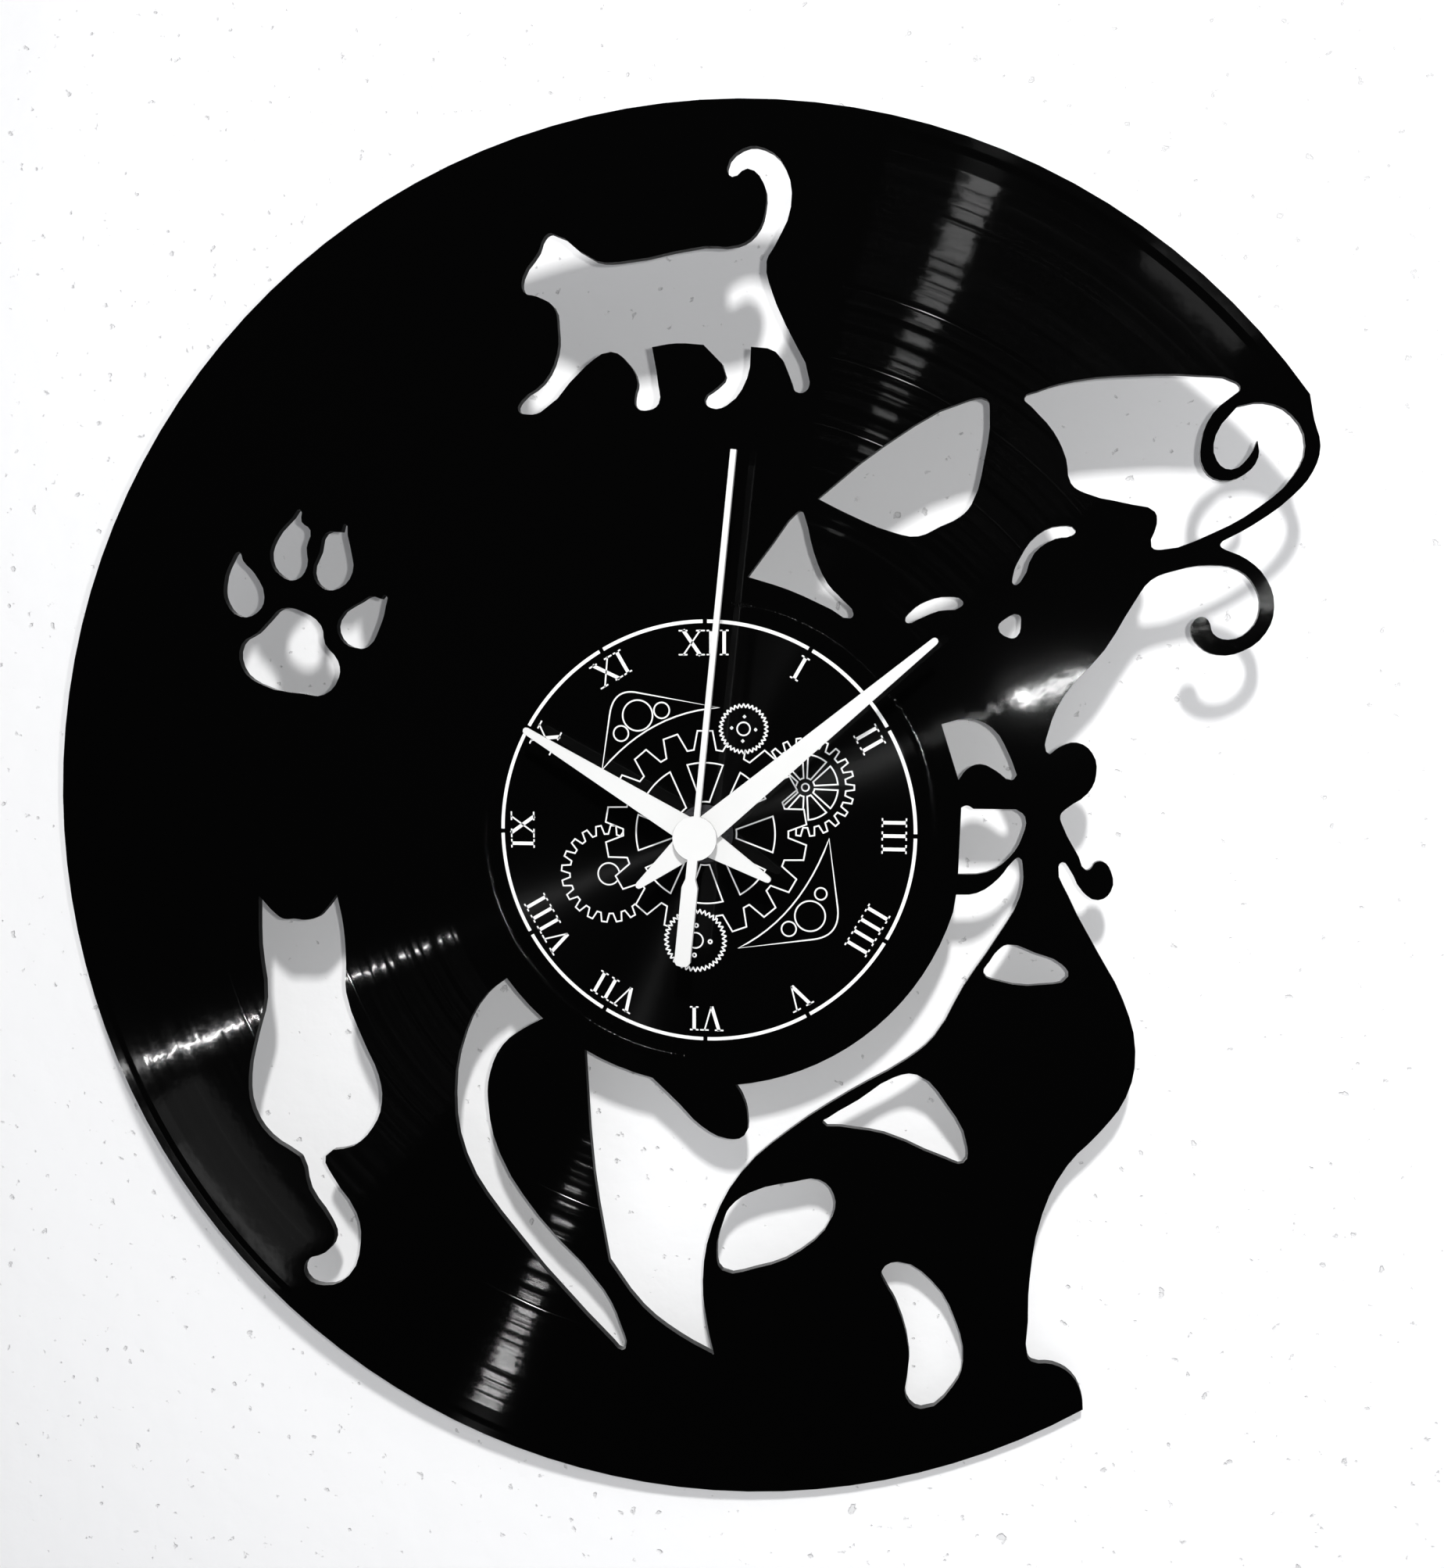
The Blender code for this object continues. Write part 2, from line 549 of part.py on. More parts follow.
# First teeth of the wheels, each worked out from the one it meshes with
SECOND_FIRST = 90.0
INTERMEDIATE_FIRST = meshing(SECOND_FIRST, SECOND_TEETH, INTERMEDIATE_ANGLE, INTERMEDIATE_LEAVES)
ROTOR_FIRST = meshing(INTERMEDIATE_FIRST, INTERMEDIATE_TEETH, ROTOR_ANGLE, ROTOR_TEETH)
THIRD_FIRST = meshing(SECOND_FIRST, SECOND_LEAVES, THIRD_ANGLE, THIRD_TEETH)
DRIVE_FIRST = meshing(THIRD_FIRST, THIRD_LEAVES, THIRD_ANGLE + 180, DRIVE_TEETH)
CANNON_FIRST = 90.0
MOTION_FIRST = meshing(CANNON_FIRST, CANNON_TEETH, MOTION_ANGLE, MOTION_TEETH)
HOUR_FIRST = meshing(MOTION_FIRST, MOTION_LEAVES, MOTION_ANGLE + 180, HOUR_TEETH)
KNOB_FIRST = meshing(MOTION_FIRST, MOTION_TEETH, KNOB_ANGLE, KNOB_TEETH)


def wheel_with_pinion(bench, name, first_tooth, wheel, pinion):
    """A wheel and its pinion in one moulding: each is (teeth, module, (back, front))."""
    teeth, module, levels = wheel
    made = bench.sheet(name, [gear_outline(teeth, module, first_tooth)], *levels)
    leaves, module, levels = pinion
    leaved = bench.sheet(f"{name}_leaves", [gear_outline(leaves, module, first_tooth)], *levels)
    bench.join(made, leaved)
    return made


# ---------------------------------------------------------------- record and its fixing
def make_record(bench):
    cuts = record_cuts() + [circle(BUSH_RADIUS + BUSH_PLAY, 40)]
    record = bench.sheet("record_disc", cuts, RECORD_BACK, RECORD_FRONT)
    bench.place(record, "vinyl")


def make_fixing(bench):
    """The hanger plate and gasket behind the record, the washer and nut in front."""
    hole = BUSH_RADIUS + BUSH_PLAY
    gasket = bench.ring("rubber_gasket", GASKET_RADIUS, hole, GASKET_BACK, GASKET_FRONT)
    bench.place(gasket, "rubber")

    keyhole = arc(KEYHOLE_RADIUS, 60, -240, 30, KEYHOLE_CENTRE)
    keyhole += arc(SLOT_RADIUS, 180, 0, 30, SLOT_CENTRE)
    edge = rounded_box(-HANGER_HALF_WIDTH, HANGER_BOTTOM, HANGER_HALF_WIDTH, HANGER_TOP, 4)
    hanger = bench.sheet("hanger_plate", [edge, circle(hole), keyhole], HANGER_BACK, HANGER_FRONT)
    bench.place(hanger, "steel")

    washer = bench.ring("dial_washer", WASHER_RADIUS, hole, WASHER_BACK, WASHER_FRONT, 40)
    bench.place(washer, "dark_metal")
    hexagon = circle(NUT_CORNER_RADIUS, 6)
    nut = bench.sheet("hex_nut", [hexagon, circle(BUSH_RADIUS + FIT_GAP)], NUT_BACK, NUT_FRONT)
    bench.place(nut, "dark_metal")


# ---------------------------------------------------------------- movement casing
HALF_CASE = CASE_SIDE / 2
INSIDE = HALF_CASE - WALL  # of the case's side walls
PAST = 1.0  # how far a cutter runs past what it cuts
BEARING_AXES = {
    "second": CENTRE,
    "intermediate": INTERMEDIATE_AXIS,
    "rotor": ROTOR_AXIS,
    "third": THIRD_AXIS,
}


def make_front_case(bench):
    """The moulded case, open at the back: a chamber for the wheels and a bay for the cell."""
    shell = rounded_box(-HALF_CASE, -HALF_CASE, HALF_CASE, HALF_CASE, 3)
    case = bench.sheet("front_case", [shell], COVER_FRONT + STACK_GAP, CASE_DEPTH)
    chamber = rounded_box(-INSIDE, PARTITION_TOP, INSIDE, INSIDE, 2)
    bay = rounded_box(-INSIDE, -INSIDE, INSIDE, PARTITION_TOP - WALL, 1)
    bench.cut(case, bench.sheet("wheel_chamber", [chamber], -PAST, FRONT_WALL_BACK))
    bench.cut(case, bench.sheet("battery_bay", [bay], -PAST, FRONT_WALL_BACK))
    bush_hole = bench.rod("bush_hole", BUSH_NECK + FIT_GAP, FRONT_WALL_BACK - PAST, CASE_DEPTH + PAST, 32)
    bench.cut(case, bush_hole)
    bench.place(case, "case_plastic")


def make_back_cover(bench):
    """The flat cover, with a pivot hole in a boss for each arbor and a cup round the knob."""
    edge = rounded_box(-HALF_CASE, PARTITION_TOP - WALL, HALF_CASE, HALF_CASE, 3)
    cover = bench.sheet("back_cover", [edge], 0, COVER_FRONT)
    cup = bench.rod("knob_cup", KNOB_CUP_RADIUS + 0.9, COVER_FRONT / 2, KNOB_CUP_DEPTH + 0.8, 28)
    bench.join(cover, cup, KNOB_AXIS)
    for name, axis in BEARING_AXES.items():
        boss = bench.rod(f"{name}_boss", BOSS_RADIUS, COVER_FRONT / 2, COVER_FRONT + BOSS_HEIGHT, 12)
        bench.join(cover, boss, axis)
    for name, axis in BEARING_AXES.items():
        pivot_hole = bench.rod(f"{name}_pivot_hole", PIVOT_HOLE, PIVOT_HOLE_BACK, COVER_FRONT + PAST, 10)
        bench.cut(cover, pivot_hole, axis)
    bench.cut(cover, bench.rod("knob_recess", KNOB_CUP_RADIUS, -PAST, KNOB_CUP_DEPTH, 28), KNOB_AXIS)
    bench.cut(cover, bench.rod("shaft_hole", SHAFT_HOLE, 0, KNOB_CUP_DEPTH + 2, 12), KNOB_AXIS)
    bench.place(cover, "case_plastic")


def make_middle_plate(bench):
    reach = INSIDE - 0.4
    edge = rounded_box(-reach, PARTITION_TOP + 0.4, reach, reach, 2)
    holes = [circle(SECOND_ARBOR_RADIUS + PIVOT_PLAY, 12), circle(SHAFT_HOLE, 16, KNOB_AXIS)]
    holes += [circle(PIVOT_HOLE, 10, BEARING_AXES[name]) for name in ("intermediate", "rotor", "third")]
    plate = bench.sheet("middle_plate", [edge, *holes], *MIDDLE_PLATE)
    bench.place(plate, "wheel_plastic")


def make_bush(bench):
    """The threaded bush, its neck pressed into the case, and the pin of the motion wheel."""
    neck_back = FRONT_WALL_BACK - 0.6
    shoulder = CASE_DEPTH + FIT_GAP
    bore = HOUR_TUBE_OUTER + RUNNING_PLAY
    profile = [
        (BUSH_RADIUS, BUSH_FRONT), (BUSH_RADIUS, shoulder), (BUSH_NECK, shoulder),
        (BUSH_NECK, neck_back), (bore, neck_back), (bore, BUSH_FRONT),
    ]
    bench.place(bench.turned("threaded_bush", profile), "brass")
    pin = bench.rod("motion_pin", MOTION_PIN_RADIUS, MOTION_WHEEL[0] - 0.4, FRONT_WALL_BACK - FIT_GAP)
    bench.place(pin, "steel", MOTION_AXIS)


# ---------------------------------------------------------------- battery, board and coil
def make_battery(bench):
    """The AA cell, lying across the bay, and the contact strips against the bay's end walls."""
    end = CELL_LENGTH / 2
    shoulder = end - CELL_BUTTON[1]
    profile = [
        (0, end), (CELL_BUTTON[0], end), (CELL_BUTTON[0], shoulder),
        (CELL_RADIUS - 0.8, shoulder - 0.2), (CELL_RADIUS, shoulder - 0.8),
        (CELL_RADIUS, 0.6 - end), (CELL_RADIUS - 0.6, -end), (0, -end),
    ]
    cell = bench.turned("battery_cell", profile)
    bench.place(cell, "cell_sleeve", (0, CELL_Y))
    cell.location.z = CELL_HEIGHT * MM
    cell.rotation_euler = (0, math.radians(90), 0)

    low, high = CELL_HEIGHT - 5.5, CELL_HEIGHT + 5.9
    for name, side, reach in (("contact_positive", 1, 0.6), ("contact_negative", -1, 0.9)):
        strip = bench.sheet(name, [rounded_box(-4, low, 4, high, 1.2, 2)], 0, CONTACT_SHEET)
        cone = [(0, 0.3 + reach), (1.2, 0.3 + reach), (2.6, 0.2), (0, 0.2)]
        bench.join(strip, bench.turned(f"{name}_dimple", cone, 16), (0, CELL_HEIGHT))
        bench.place(strip, "steel", (side * (INSIDE - FIT_GAP), CELL_Y))
        strip.rotation_euler = (math.radians(90), 0, math.radians(-90 * side))


def make_electronics(bench):
    """The board with its chip and crystal, and the stator with the coil between its legs."""
    board = bench.sheet("circuit_board", [rounded_box(-25.6, 17.4, -8.6, 26, 0.8, 2)], *BOARD)
    bench.place(board, "board")
    foot = BOARD[1] + FIT_GAP
    blob = [(0, foot + 1.3), (1.4, foot + 1.1), (2.3, foot + 0.4), (2.4, foot), (0, foot)]
    bench.place(bench.turned("ic_blob", blob, 20), "epoxy", (-21.5, 21.5))
    crystal = bench.rod("quartz_crystal", CRYSTAL_RADIUS, -3, 3)
    bench.place(crystal, "steel", (-12.2, 21.6))
    crystal.location.z = (foot + CRYSTAL_RADIUS) * MM
    crystal.rotation_euler = (math.radians(90), 0, 0)

    left, right, bottom, top, yoke_top = -4.6, 20.4, 8.8, 25.4, 16.2
    leg = 3.2
    corners = (
        (left, bottom), (right, bottom), (right, top), (right - leg, top), (right - leg, yoke_top),
        (left + leg, yoke_top), (left + leg, top), (left, top),
    )
    edge = [(x, y, CORNER) for x, y in corners]
    stator = bench.sheet("stator_plate", [edge, circle(STATOR_HOLE, 24, ROTOR_AXIS)], *STATOR)
    bench.place(stator, "steel")

    start, end = left + leg + 0.3, right - leg - 0.3
    flange = 0.8
    spool = [
        (0, end), (COIL_RADIUS + 0.3, end), (COIL_RADIUS + 0.3, end - flange), (1.1, end - flange),
        (1.1, start + flange), (COIL_RADIUS + 0.3, start + flange), (COIL_RADIUS + 0.3, start),
        (0, start),
    ]
    bobbin = bench.turned("coil_bobbin", spool, 20)
    inner, back, front = 1.1 + FIT_GAP, start + flange + 0.1, end - flange - 0.1
    winding = bench.ring("coil_winding", COIL_RADIUS, inner, back, front, 20)
    for piece, finish in ((bobbin, "bobbin"), (winding, "copper")):
        bench.place(piece, finish, (0, COIL_Y))
        piece.location.z = COIL_HEIGHT * MM
        piece.rotation_euler = (0, math.radians(90), 0)


# ---------------------------------------------------------------- wheel train
def make_rotor(bench):
    magnet = bench.ring("rotor_magnet", 2.5, ROTOR_SPINDLE + 0.15, *ROTOR_MAGNET, 24)
    bench.place(magnet, "magnet", ROTOR_AXIS)
    leaves = gear_outline(ROTOR_TEETH, ROTOR_MODULE, ROTOR_FIRST)
    pinion = bench.sheet("rotor_pinion", [leaves], *ROTOR_PINION)
    back, front = ROTOR_MAGNET[0] - 0.2, ROTOR_PINION[0] + 0.2
    bench.join(pinion, bench.rod("rotor_spindle", ROTOR_SPINDLE, back, front, 12))
    bench.join(pinion, bench.rod("rotor_pivots", PIVOT_RADIUS, COVER_FRONT, PIVOT_FRONT, 10))
    bench.place(pinion, "wheel_plastic", ROTOR_AXIS)


def make_going_train(bench):
    """Intermediate, second, third and drive wheels, which turn with the motor."""
    intermediate = wheel_with_pinion(
        bench, "intermediate_wheel", INTERMEDIATE_FIRST,
        (INTERMEDIATE_TEETH, ROTOR_MODULE, INTERMEDIATE_WHEEL),
        (INTERMEDIATE_LEAVES, SECOND_MODULE, INTERMEDIATE_PINION),
    )
    back, front = INTERMEDIATE_PINION[1] - 0.2, INTERMEDIATE_WHEEL[0] + 0.3
    bench.join(intermediate, bench.rod("intermediate_hub", HUB_RADIUS, back, front, 12))
    bench.join(
        intermediate, bench.rod("intermediate_pivots", PIVOT_RADIUS, COVER_FRONT, PIVOT_FRONT, 10)
    )
    bench.place(intermediate, "wheel_plastic", INTERMEDIATE_AXIS)

    bore = circle(SECOND_ARBOR_RADIUS + FIT_GAP, 12)
    wheel = gear_outline(SECOND_TEETH, SECOND_MODULE, SECOND_FIRST)
    bench.place(bench.sheet("second_wheel", [wheel, bore], *SECOND_WHEEL), "wheel_plastic")
    leaves = gear_outline(SECOND_LEAVES, THIRD_MODULE, SECOND_FIRST)
    bench.place(bench.sheet("second_pinion", [leaves, bore], *SECOND_PINION), "wheel_plastic")
    arbor_back, arbor_front = COVER_FRONT + 0.7, SECOND_HAND_BACK + 0.6
    arbor = bench.rod("second_arbor", SECOND_ARBOR_RADIUS, arbor_back, arbor_front, 12)
    bench.place(arbor, "steel")

    third = wheel_with_pinion(
        bench, "third_wheel", THIRD_FIRST,
        (THIRD_TEETH, THIRD_MODULE, THIRD_WHEEL),
        (THIRD_LEAVES, DRIVE_MODULE, THIRD_PINION),
    )
    back, front = THIRD_WHEEL[0], MIDDLE_PLATE[0] - 0.2
    bench.join(third, bench.rod("third_hub", HUB_RADIUS, back, front, 12))
    back, front = COVER_FRONT, THIRD_PINION[1] + 0.4
    bench.join(third, bench.rod("third_pivots", PIVOT_RADIUS, back, front, 10))
    bench.place(third, "wheel_plastic", THIRD_AXIS)

    bore = MINUTE_TUBE_NECK + FIT_GAP
    drive = gear_outline(DRIVE_TEETH, DRIVE_MODULE, DRIVE_FIRST)
    wheel = bench.sheet("centre_drive_wheel", [drive, circle(bore, 20)], *DRIVE_WHEEL)
    bench.place(wheel, "wheel_plastic")
    bench.place(bench.ring("clutch_spring", 2.4, bore, *CLUTCH_SPRING, 20), "steel")


def make_motion_work(bench):
    """Minute tube, motion wheel and hour wheel: what the setting knob turns."""
    neck_back = MIDDLE_PLATE[1] + 0.1
    neck_front = CANNON_PINION[1] + FIT_GAP
    bore = SECOND_ARBOR_RADIUS + 0.15
    profile = [
        (MINUTE_TUBE_OUTER, MINUTE_TUBE_FRONT), (MINUTE_TUBE_OUTER, neck_front),
        (MINUTE_TUBE_NECK, neck_front), (MINUTE_TUBE_NECK, neck_back), (bore, neck_back),
        (bore, MINUTE_TUBE_FRONT),
    ]
    bench.place(bench.turned("minute_tube", profile, 20), "brass")
    leaves = gear_outline(CANNON_TEETH, MOTION_MODULE, CANNON_FIRST)
    bore = circle(MINUTE_TUBE_NECK + FIT_GAP, 20)
    bench.place(bench.sheet("cannon_pinion", [leaves, bore], *CANNON_PINION), "wheel_plastic")

    motion = wheel_with_pinion(
        bench, "motion_wheel", MOTION_FIRST,
        (MOTION_TEETH, MOTION_MODULE, MOTION_WHEEL),
        (MOTION_LEAVES, MOTION_MODULE, MOTION_PINION),
    )
    back, front = MOTION_WHEEL[0] - PAST, MOTION_PINION[1] + PAST
    bench.cut(motion, bench.rod("motion_bore", MOTION_PIN_RADIUS + FIT_GAP, back, front))
    bench.place(motion, "wheel_plastic", MOTION_AXIS)

    bore = MINUTE_TUBE_OUTER + RUNNING_PLAY
    wheel = gear_outline(HOUR_TEETH, MOTION_MODULE, HOUR_FIRST)
    hour = bench.sheet("hour_wheel", [wheel, circle(bore, 20)], *HOUR_WHEEL)
    back = HOUR_WHEEL[0] + 0.2
    bench.join(hour, bench.ring("hour_tube", HOUR_TUBE_OUTER, bore, back, HOUR_TUBE_FRONT, 20))
    bench.place(hour, "wheel_plastic")


def make_setting_knob(bench):
    """The ridged knob in the cover's cup, with the shaft and leaves that turn the motion wheel."""
    ridges = toothed_outline(KNOB_RIDGES, KNOB_RADIUS - 0.5, KNOB_RADIUS, 0.5, 0.24)
    knob = bench.sheet("setting_knob", [ridges], 0.4, KNOB_CUP_DEPTH - 0.3)
    bench.join(knob, bench.rod("knob_shaft", 1.2, 2, KNOB_PINION[0] + 0.3, 12))
    leaves = gear_outline(KNOB_TEETH, MOTION_MODULE, KNOB_FIRST)
    bench.join(knob, bench.sheet("knob_leaves", [leaves], *KNOB_PINION))
    back, front = KNOB_PINION[1] - 0.3, FRONT_WALL_BACK - 0.2
    bench.join(knob, bench.rod("knob_pivot", 0.6, back, front, 12))
    bench.place(knob, "knob_plastic", KNOB_AXIS)


# ---------------------------------------------------------------- hands
def blade_end(reach, half_width, tip_half_width, hub_radius, sign):
    """One end of a blade, counter-clockwise: off the hub, round the tip and back to the hub."""
    leaves_hub = math.sqrt(hub_radius**2 - half_width**2)
    tip_centre = (0, reach - tip_half_width)
    upright = [(half_width, leaves_hub)]
    upright += [polar(tip_centre, tip_half_width, angle) for angle in range(0, 181, 45)]
    upright += [(-half_width, leaves_hub)]
    return [(sign * x, sign * y, CORNER) for x, y in upright]


def blade_outline(length, tail, half_width, tip_half_width, hub_radius):
    """A hand that points up: a round hub, a long taper to a round tip, and a short tail."""
    side = math.degrees(math.acos(half_width / hub_radius)) / 2
    left = arc(hub_radius, 180 - side, 180 + side, side)
    right = arc(hub_radius, -side, side, side)
    blade = (half_width, tip_half_width, hub_radius)
    return blade_end(length, *blade, 1) + left + blade_end(tail, *blade, -1) + right


def make_blade(bench, name, length, tail, half_width, tube, back, angle):
    """A stamped hand and the collet under it, both pressed on their tube."""
    bore = tube + FIT_GAP
    outline = blade_outline(length, tail, half_width, BLADE_TIP, BLADE_HUB)
    hand = bench.sheet(f"{name}_hand", [outline, circle(bore, 20)], back, back + HAND_SHEET)
    bench.place(hand, "white_metal", turn=angle)
    front = back - FIT_GAP
    collet = bench.ring(f"{name}_collet", bore + 0.7, bore, front - COLLET_HEIGHT, front, 20)
    bench.place(collet, "white_metal")


def make_second_hand(bench):
    """The moulded second hand: a thin needle, a round hub and a thick counterweight bar."""
    hub_edge = math.degrees(math.asin(SECOND_NEEDLE / SECOND_HUB))
    neck_edge = math.degrees(math.acos(SECOND_NECK / SECOND_HUB))
    right = arc(SECOND_HUB, 90 - hub_edge, -neck_edge, 15)
    bar = (
        (SECOND_NECK, -8.6), (SECOND_BAR, -10.4), (SECOND_BAR, 1 - SECOND_TAIL),
        (SECOND_BAR - 0.5, 0.2 - SECOND_TAIL),
    )
    right += [(x, y, CORNER) for x, y in bar]
    left = [(-x, y, kind) for x, y, kind in reversed(right)]
    end = [(0, -SECOND_TAIL, CORNER)]
    tip = [(-SECOND_NEEDLE, SECOND_LENGTH, CORNER), (SECOND_NEEDLE, SECOND_LENGTH, CORNER)]
    outline = right + end + left + tip
    hand = bench.sheet("second_hand", [outline], SECOND_HAND_BACK, SECOND_HAND_FRONT)
    bore = SECOND_ARBOR_RADIUS + FIT_GAP
    socket = bench.rod("arbor_socket", bore, SECOND_HAND_BACK - PAST, SECOND_HAND_BACK + 0.7, 12)
    bench.cut(hand, socket)
    bench.place(hand, "white_plastic", turn=SECOND_ANGLE)
    front = SECOND_HAND_BACK - FIT_GAP
    bench.place(bench.ring("second_collet", 1.1, bore, front - 0.7, front, 12), "brass")


def make_hands(bench):
    make_blade(bench, "hour", 44.2, 18.0, 2.75, HOUR_TUBE_OUTER, HOUR_HAND_BACK, HOUR_ANGLE)
    make_blade(bench, "minute", 64.5, 17.0, 2.9, MINUTE_TUBE_OUTER, MINUTE_HAND_BACK, MINUTE_ANGLE)
    make_second_hand(bench)


def main():
    bench = Bench()
    make_record(bench)
    make_fixing(bench)
    make_front_case(bench)
    make_back_cover(bench)
    make_middle_plate(bench)
    make_bush(bench)
    make_battery(bench)
    make_electronics(bench)
    make_rotor(bench)
    make_going_train(bench)
    make_motion_work(bench)
    make_setting_knob(bench)
    make_hands(bench)


main()
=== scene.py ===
"""The looks of the cat tail clock: a cut and printed record, its hands, its movement and a plain wall."""

import json
import math

import bmesh
import bpy
from mathutils import Matrix, Vector

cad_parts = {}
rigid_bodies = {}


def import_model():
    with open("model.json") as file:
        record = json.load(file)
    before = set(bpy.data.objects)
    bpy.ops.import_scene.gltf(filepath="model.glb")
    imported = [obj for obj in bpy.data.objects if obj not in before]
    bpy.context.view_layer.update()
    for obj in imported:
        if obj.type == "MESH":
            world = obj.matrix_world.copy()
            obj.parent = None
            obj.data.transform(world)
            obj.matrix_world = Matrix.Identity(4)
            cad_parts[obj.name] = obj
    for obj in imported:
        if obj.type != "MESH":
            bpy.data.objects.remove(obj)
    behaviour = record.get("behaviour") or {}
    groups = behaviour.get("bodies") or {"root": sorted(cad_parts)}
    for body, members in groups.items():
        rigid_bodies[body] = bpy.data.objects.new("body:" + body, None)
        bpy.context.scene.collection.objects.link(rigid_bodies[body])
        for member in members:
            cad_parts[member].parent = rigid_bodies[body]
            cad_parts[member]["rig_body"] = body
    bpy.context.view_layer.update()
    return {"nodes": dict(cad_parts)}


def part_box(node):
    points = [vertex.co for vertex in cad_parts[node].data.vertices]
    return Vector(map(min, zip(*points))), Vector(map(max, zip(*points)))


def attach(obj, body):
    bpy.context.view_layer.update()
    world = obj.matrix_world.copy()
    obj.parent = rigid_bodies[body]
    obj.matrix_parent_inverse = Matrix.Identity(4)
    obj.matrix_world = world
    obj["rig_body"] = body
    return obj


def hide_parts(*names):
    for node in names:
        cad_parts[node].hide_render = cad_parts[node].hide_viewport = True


for old in list(bpy.data.objects):
    bpy.data.objects.remove(old)

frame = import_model()

MM = 0.001
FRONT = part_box("record_disc")[0].y  # the record's printed face

# The camera, the flash beside it and the lamp whose shadows fall on the wall, in metres and degrees
CAMERA_PLACE = (0.0606, -0.3708, 0.0309)
CAMERA_TURN = (82.39, 0.0, 9.23)
CAMERA_LENS = 37.69
CAMERA_SHIFT = 0.0798
FLASH_PLACE = (0.0741, -0.3708, 0.035)
LAMP_PLACE = (0.088, -0.52, 0.329)
BACK_LIGHT_PLACE = (-0.9, 1.3, 0.9)
SKY_COLOUR = (0.95, 0.96, 1.0, 1.0)
SKY_STRENGTH = 0.42

# The lights that only make highlights on the vinyl: the radius in mm and the clock angle at which the
# camera sees each mirrored, its distance from there in m, its power in W, and its width and length in m
GLINTS = {
    "flash_glint": (73.2, 66.2, 0.4, 0.01, 0.004, 0.006),
    "flash_trail": (80.5, 66.5, 1.5, 0.1, 0.005, 0.07),
    "top_streak": (206.0, 22.5, 0.7, 0.17, 0.028, 0.2),
    "bottom_streak": (216.0, 202.5, 0.7, 0.4, 0.022, 0.1),
    "left_streak": (206.0, 247.3, 1.5, 1.3, 0.003, 0.3),
    "left_window": (139.0, 234.0, 1.0, 0.008, 0.17, 0.05),
    "left_window_edge": (146.0, 231.0, 1.0, 0.003, 0.14, 0.006),
    "high_window": (146.5, 42.5, 1.0, 0.003, 0.1, 0.016),
    "rim_glint": (166.0, 32.0, 0.7, 0.012, 0.3, 0.004),
}

# The wall: how it leans back and turns beside the record, in degrees, and its gap to the case, in m
WALL_LEAN = 7.76
WALL_TURN = -3.02
WALL_GAP = 0.0004
WALL_SIZE = 2.4
FLOOR_PLACE = (0.0, -0.62, -0.9)

# The record's zones, as radii in mm
GROOVES_START = 144.5
GROOVES_END = 61.0
TRACK_GAPS = (116.4, 102.4, 88.9)
GAP_HALF = 0.45  # half a gap's width
LABEL_RADIUS = 49.4
RIM_BEAD = 148.3
DIAL_RADIUS = 46.0

# Its grooves: their pitch in mm, and how far they tilt the surface outwards and sideways, as slopes
GROOVE_PITCH = 0.11
GROOVE_TILT = 0.26
GROOVE_WANDER = 0.012
DIAL_TILT = 0.08  # of the fine turning lines under the dial

# Fine turns on small parts, in mm: the bush's thread and the coil's wire
THREAD = 0.75
WIRE = 0.22

# The dial's print, in mm
PRINT_THICKNESS = 0.04
LINE = 0.32
RING_RADIUS = 45.4
RING_WIDTH = 0.74
RING_GAP = 1.2
NUMERAL_BASE = 38.2
NUMERAL_HEIGHT = 5.4
STEM = 0.75
HAIR = 0.32
SERIF = 1.9
LETTER_WIDTHS = {"I": 2.85, "V": 5.0, "X": 5.5}
NUMERALS = ("XII", "I", "II", "III", "IIII", "V", "VI", "VII", "VIII", "IX", "X", "XI")

# The small gears of the print: their middles in mm from the dial's, to the right and up
TOP_GEAR = (8.4, 22.6)
LOW_GEAR = (-2.2, -23.5)
RIGHT_GEAR = (21.8, 10.2)
LEFT_GEAR = (-21.5, -9.2)


# ---------------------------------------------------------------- materials


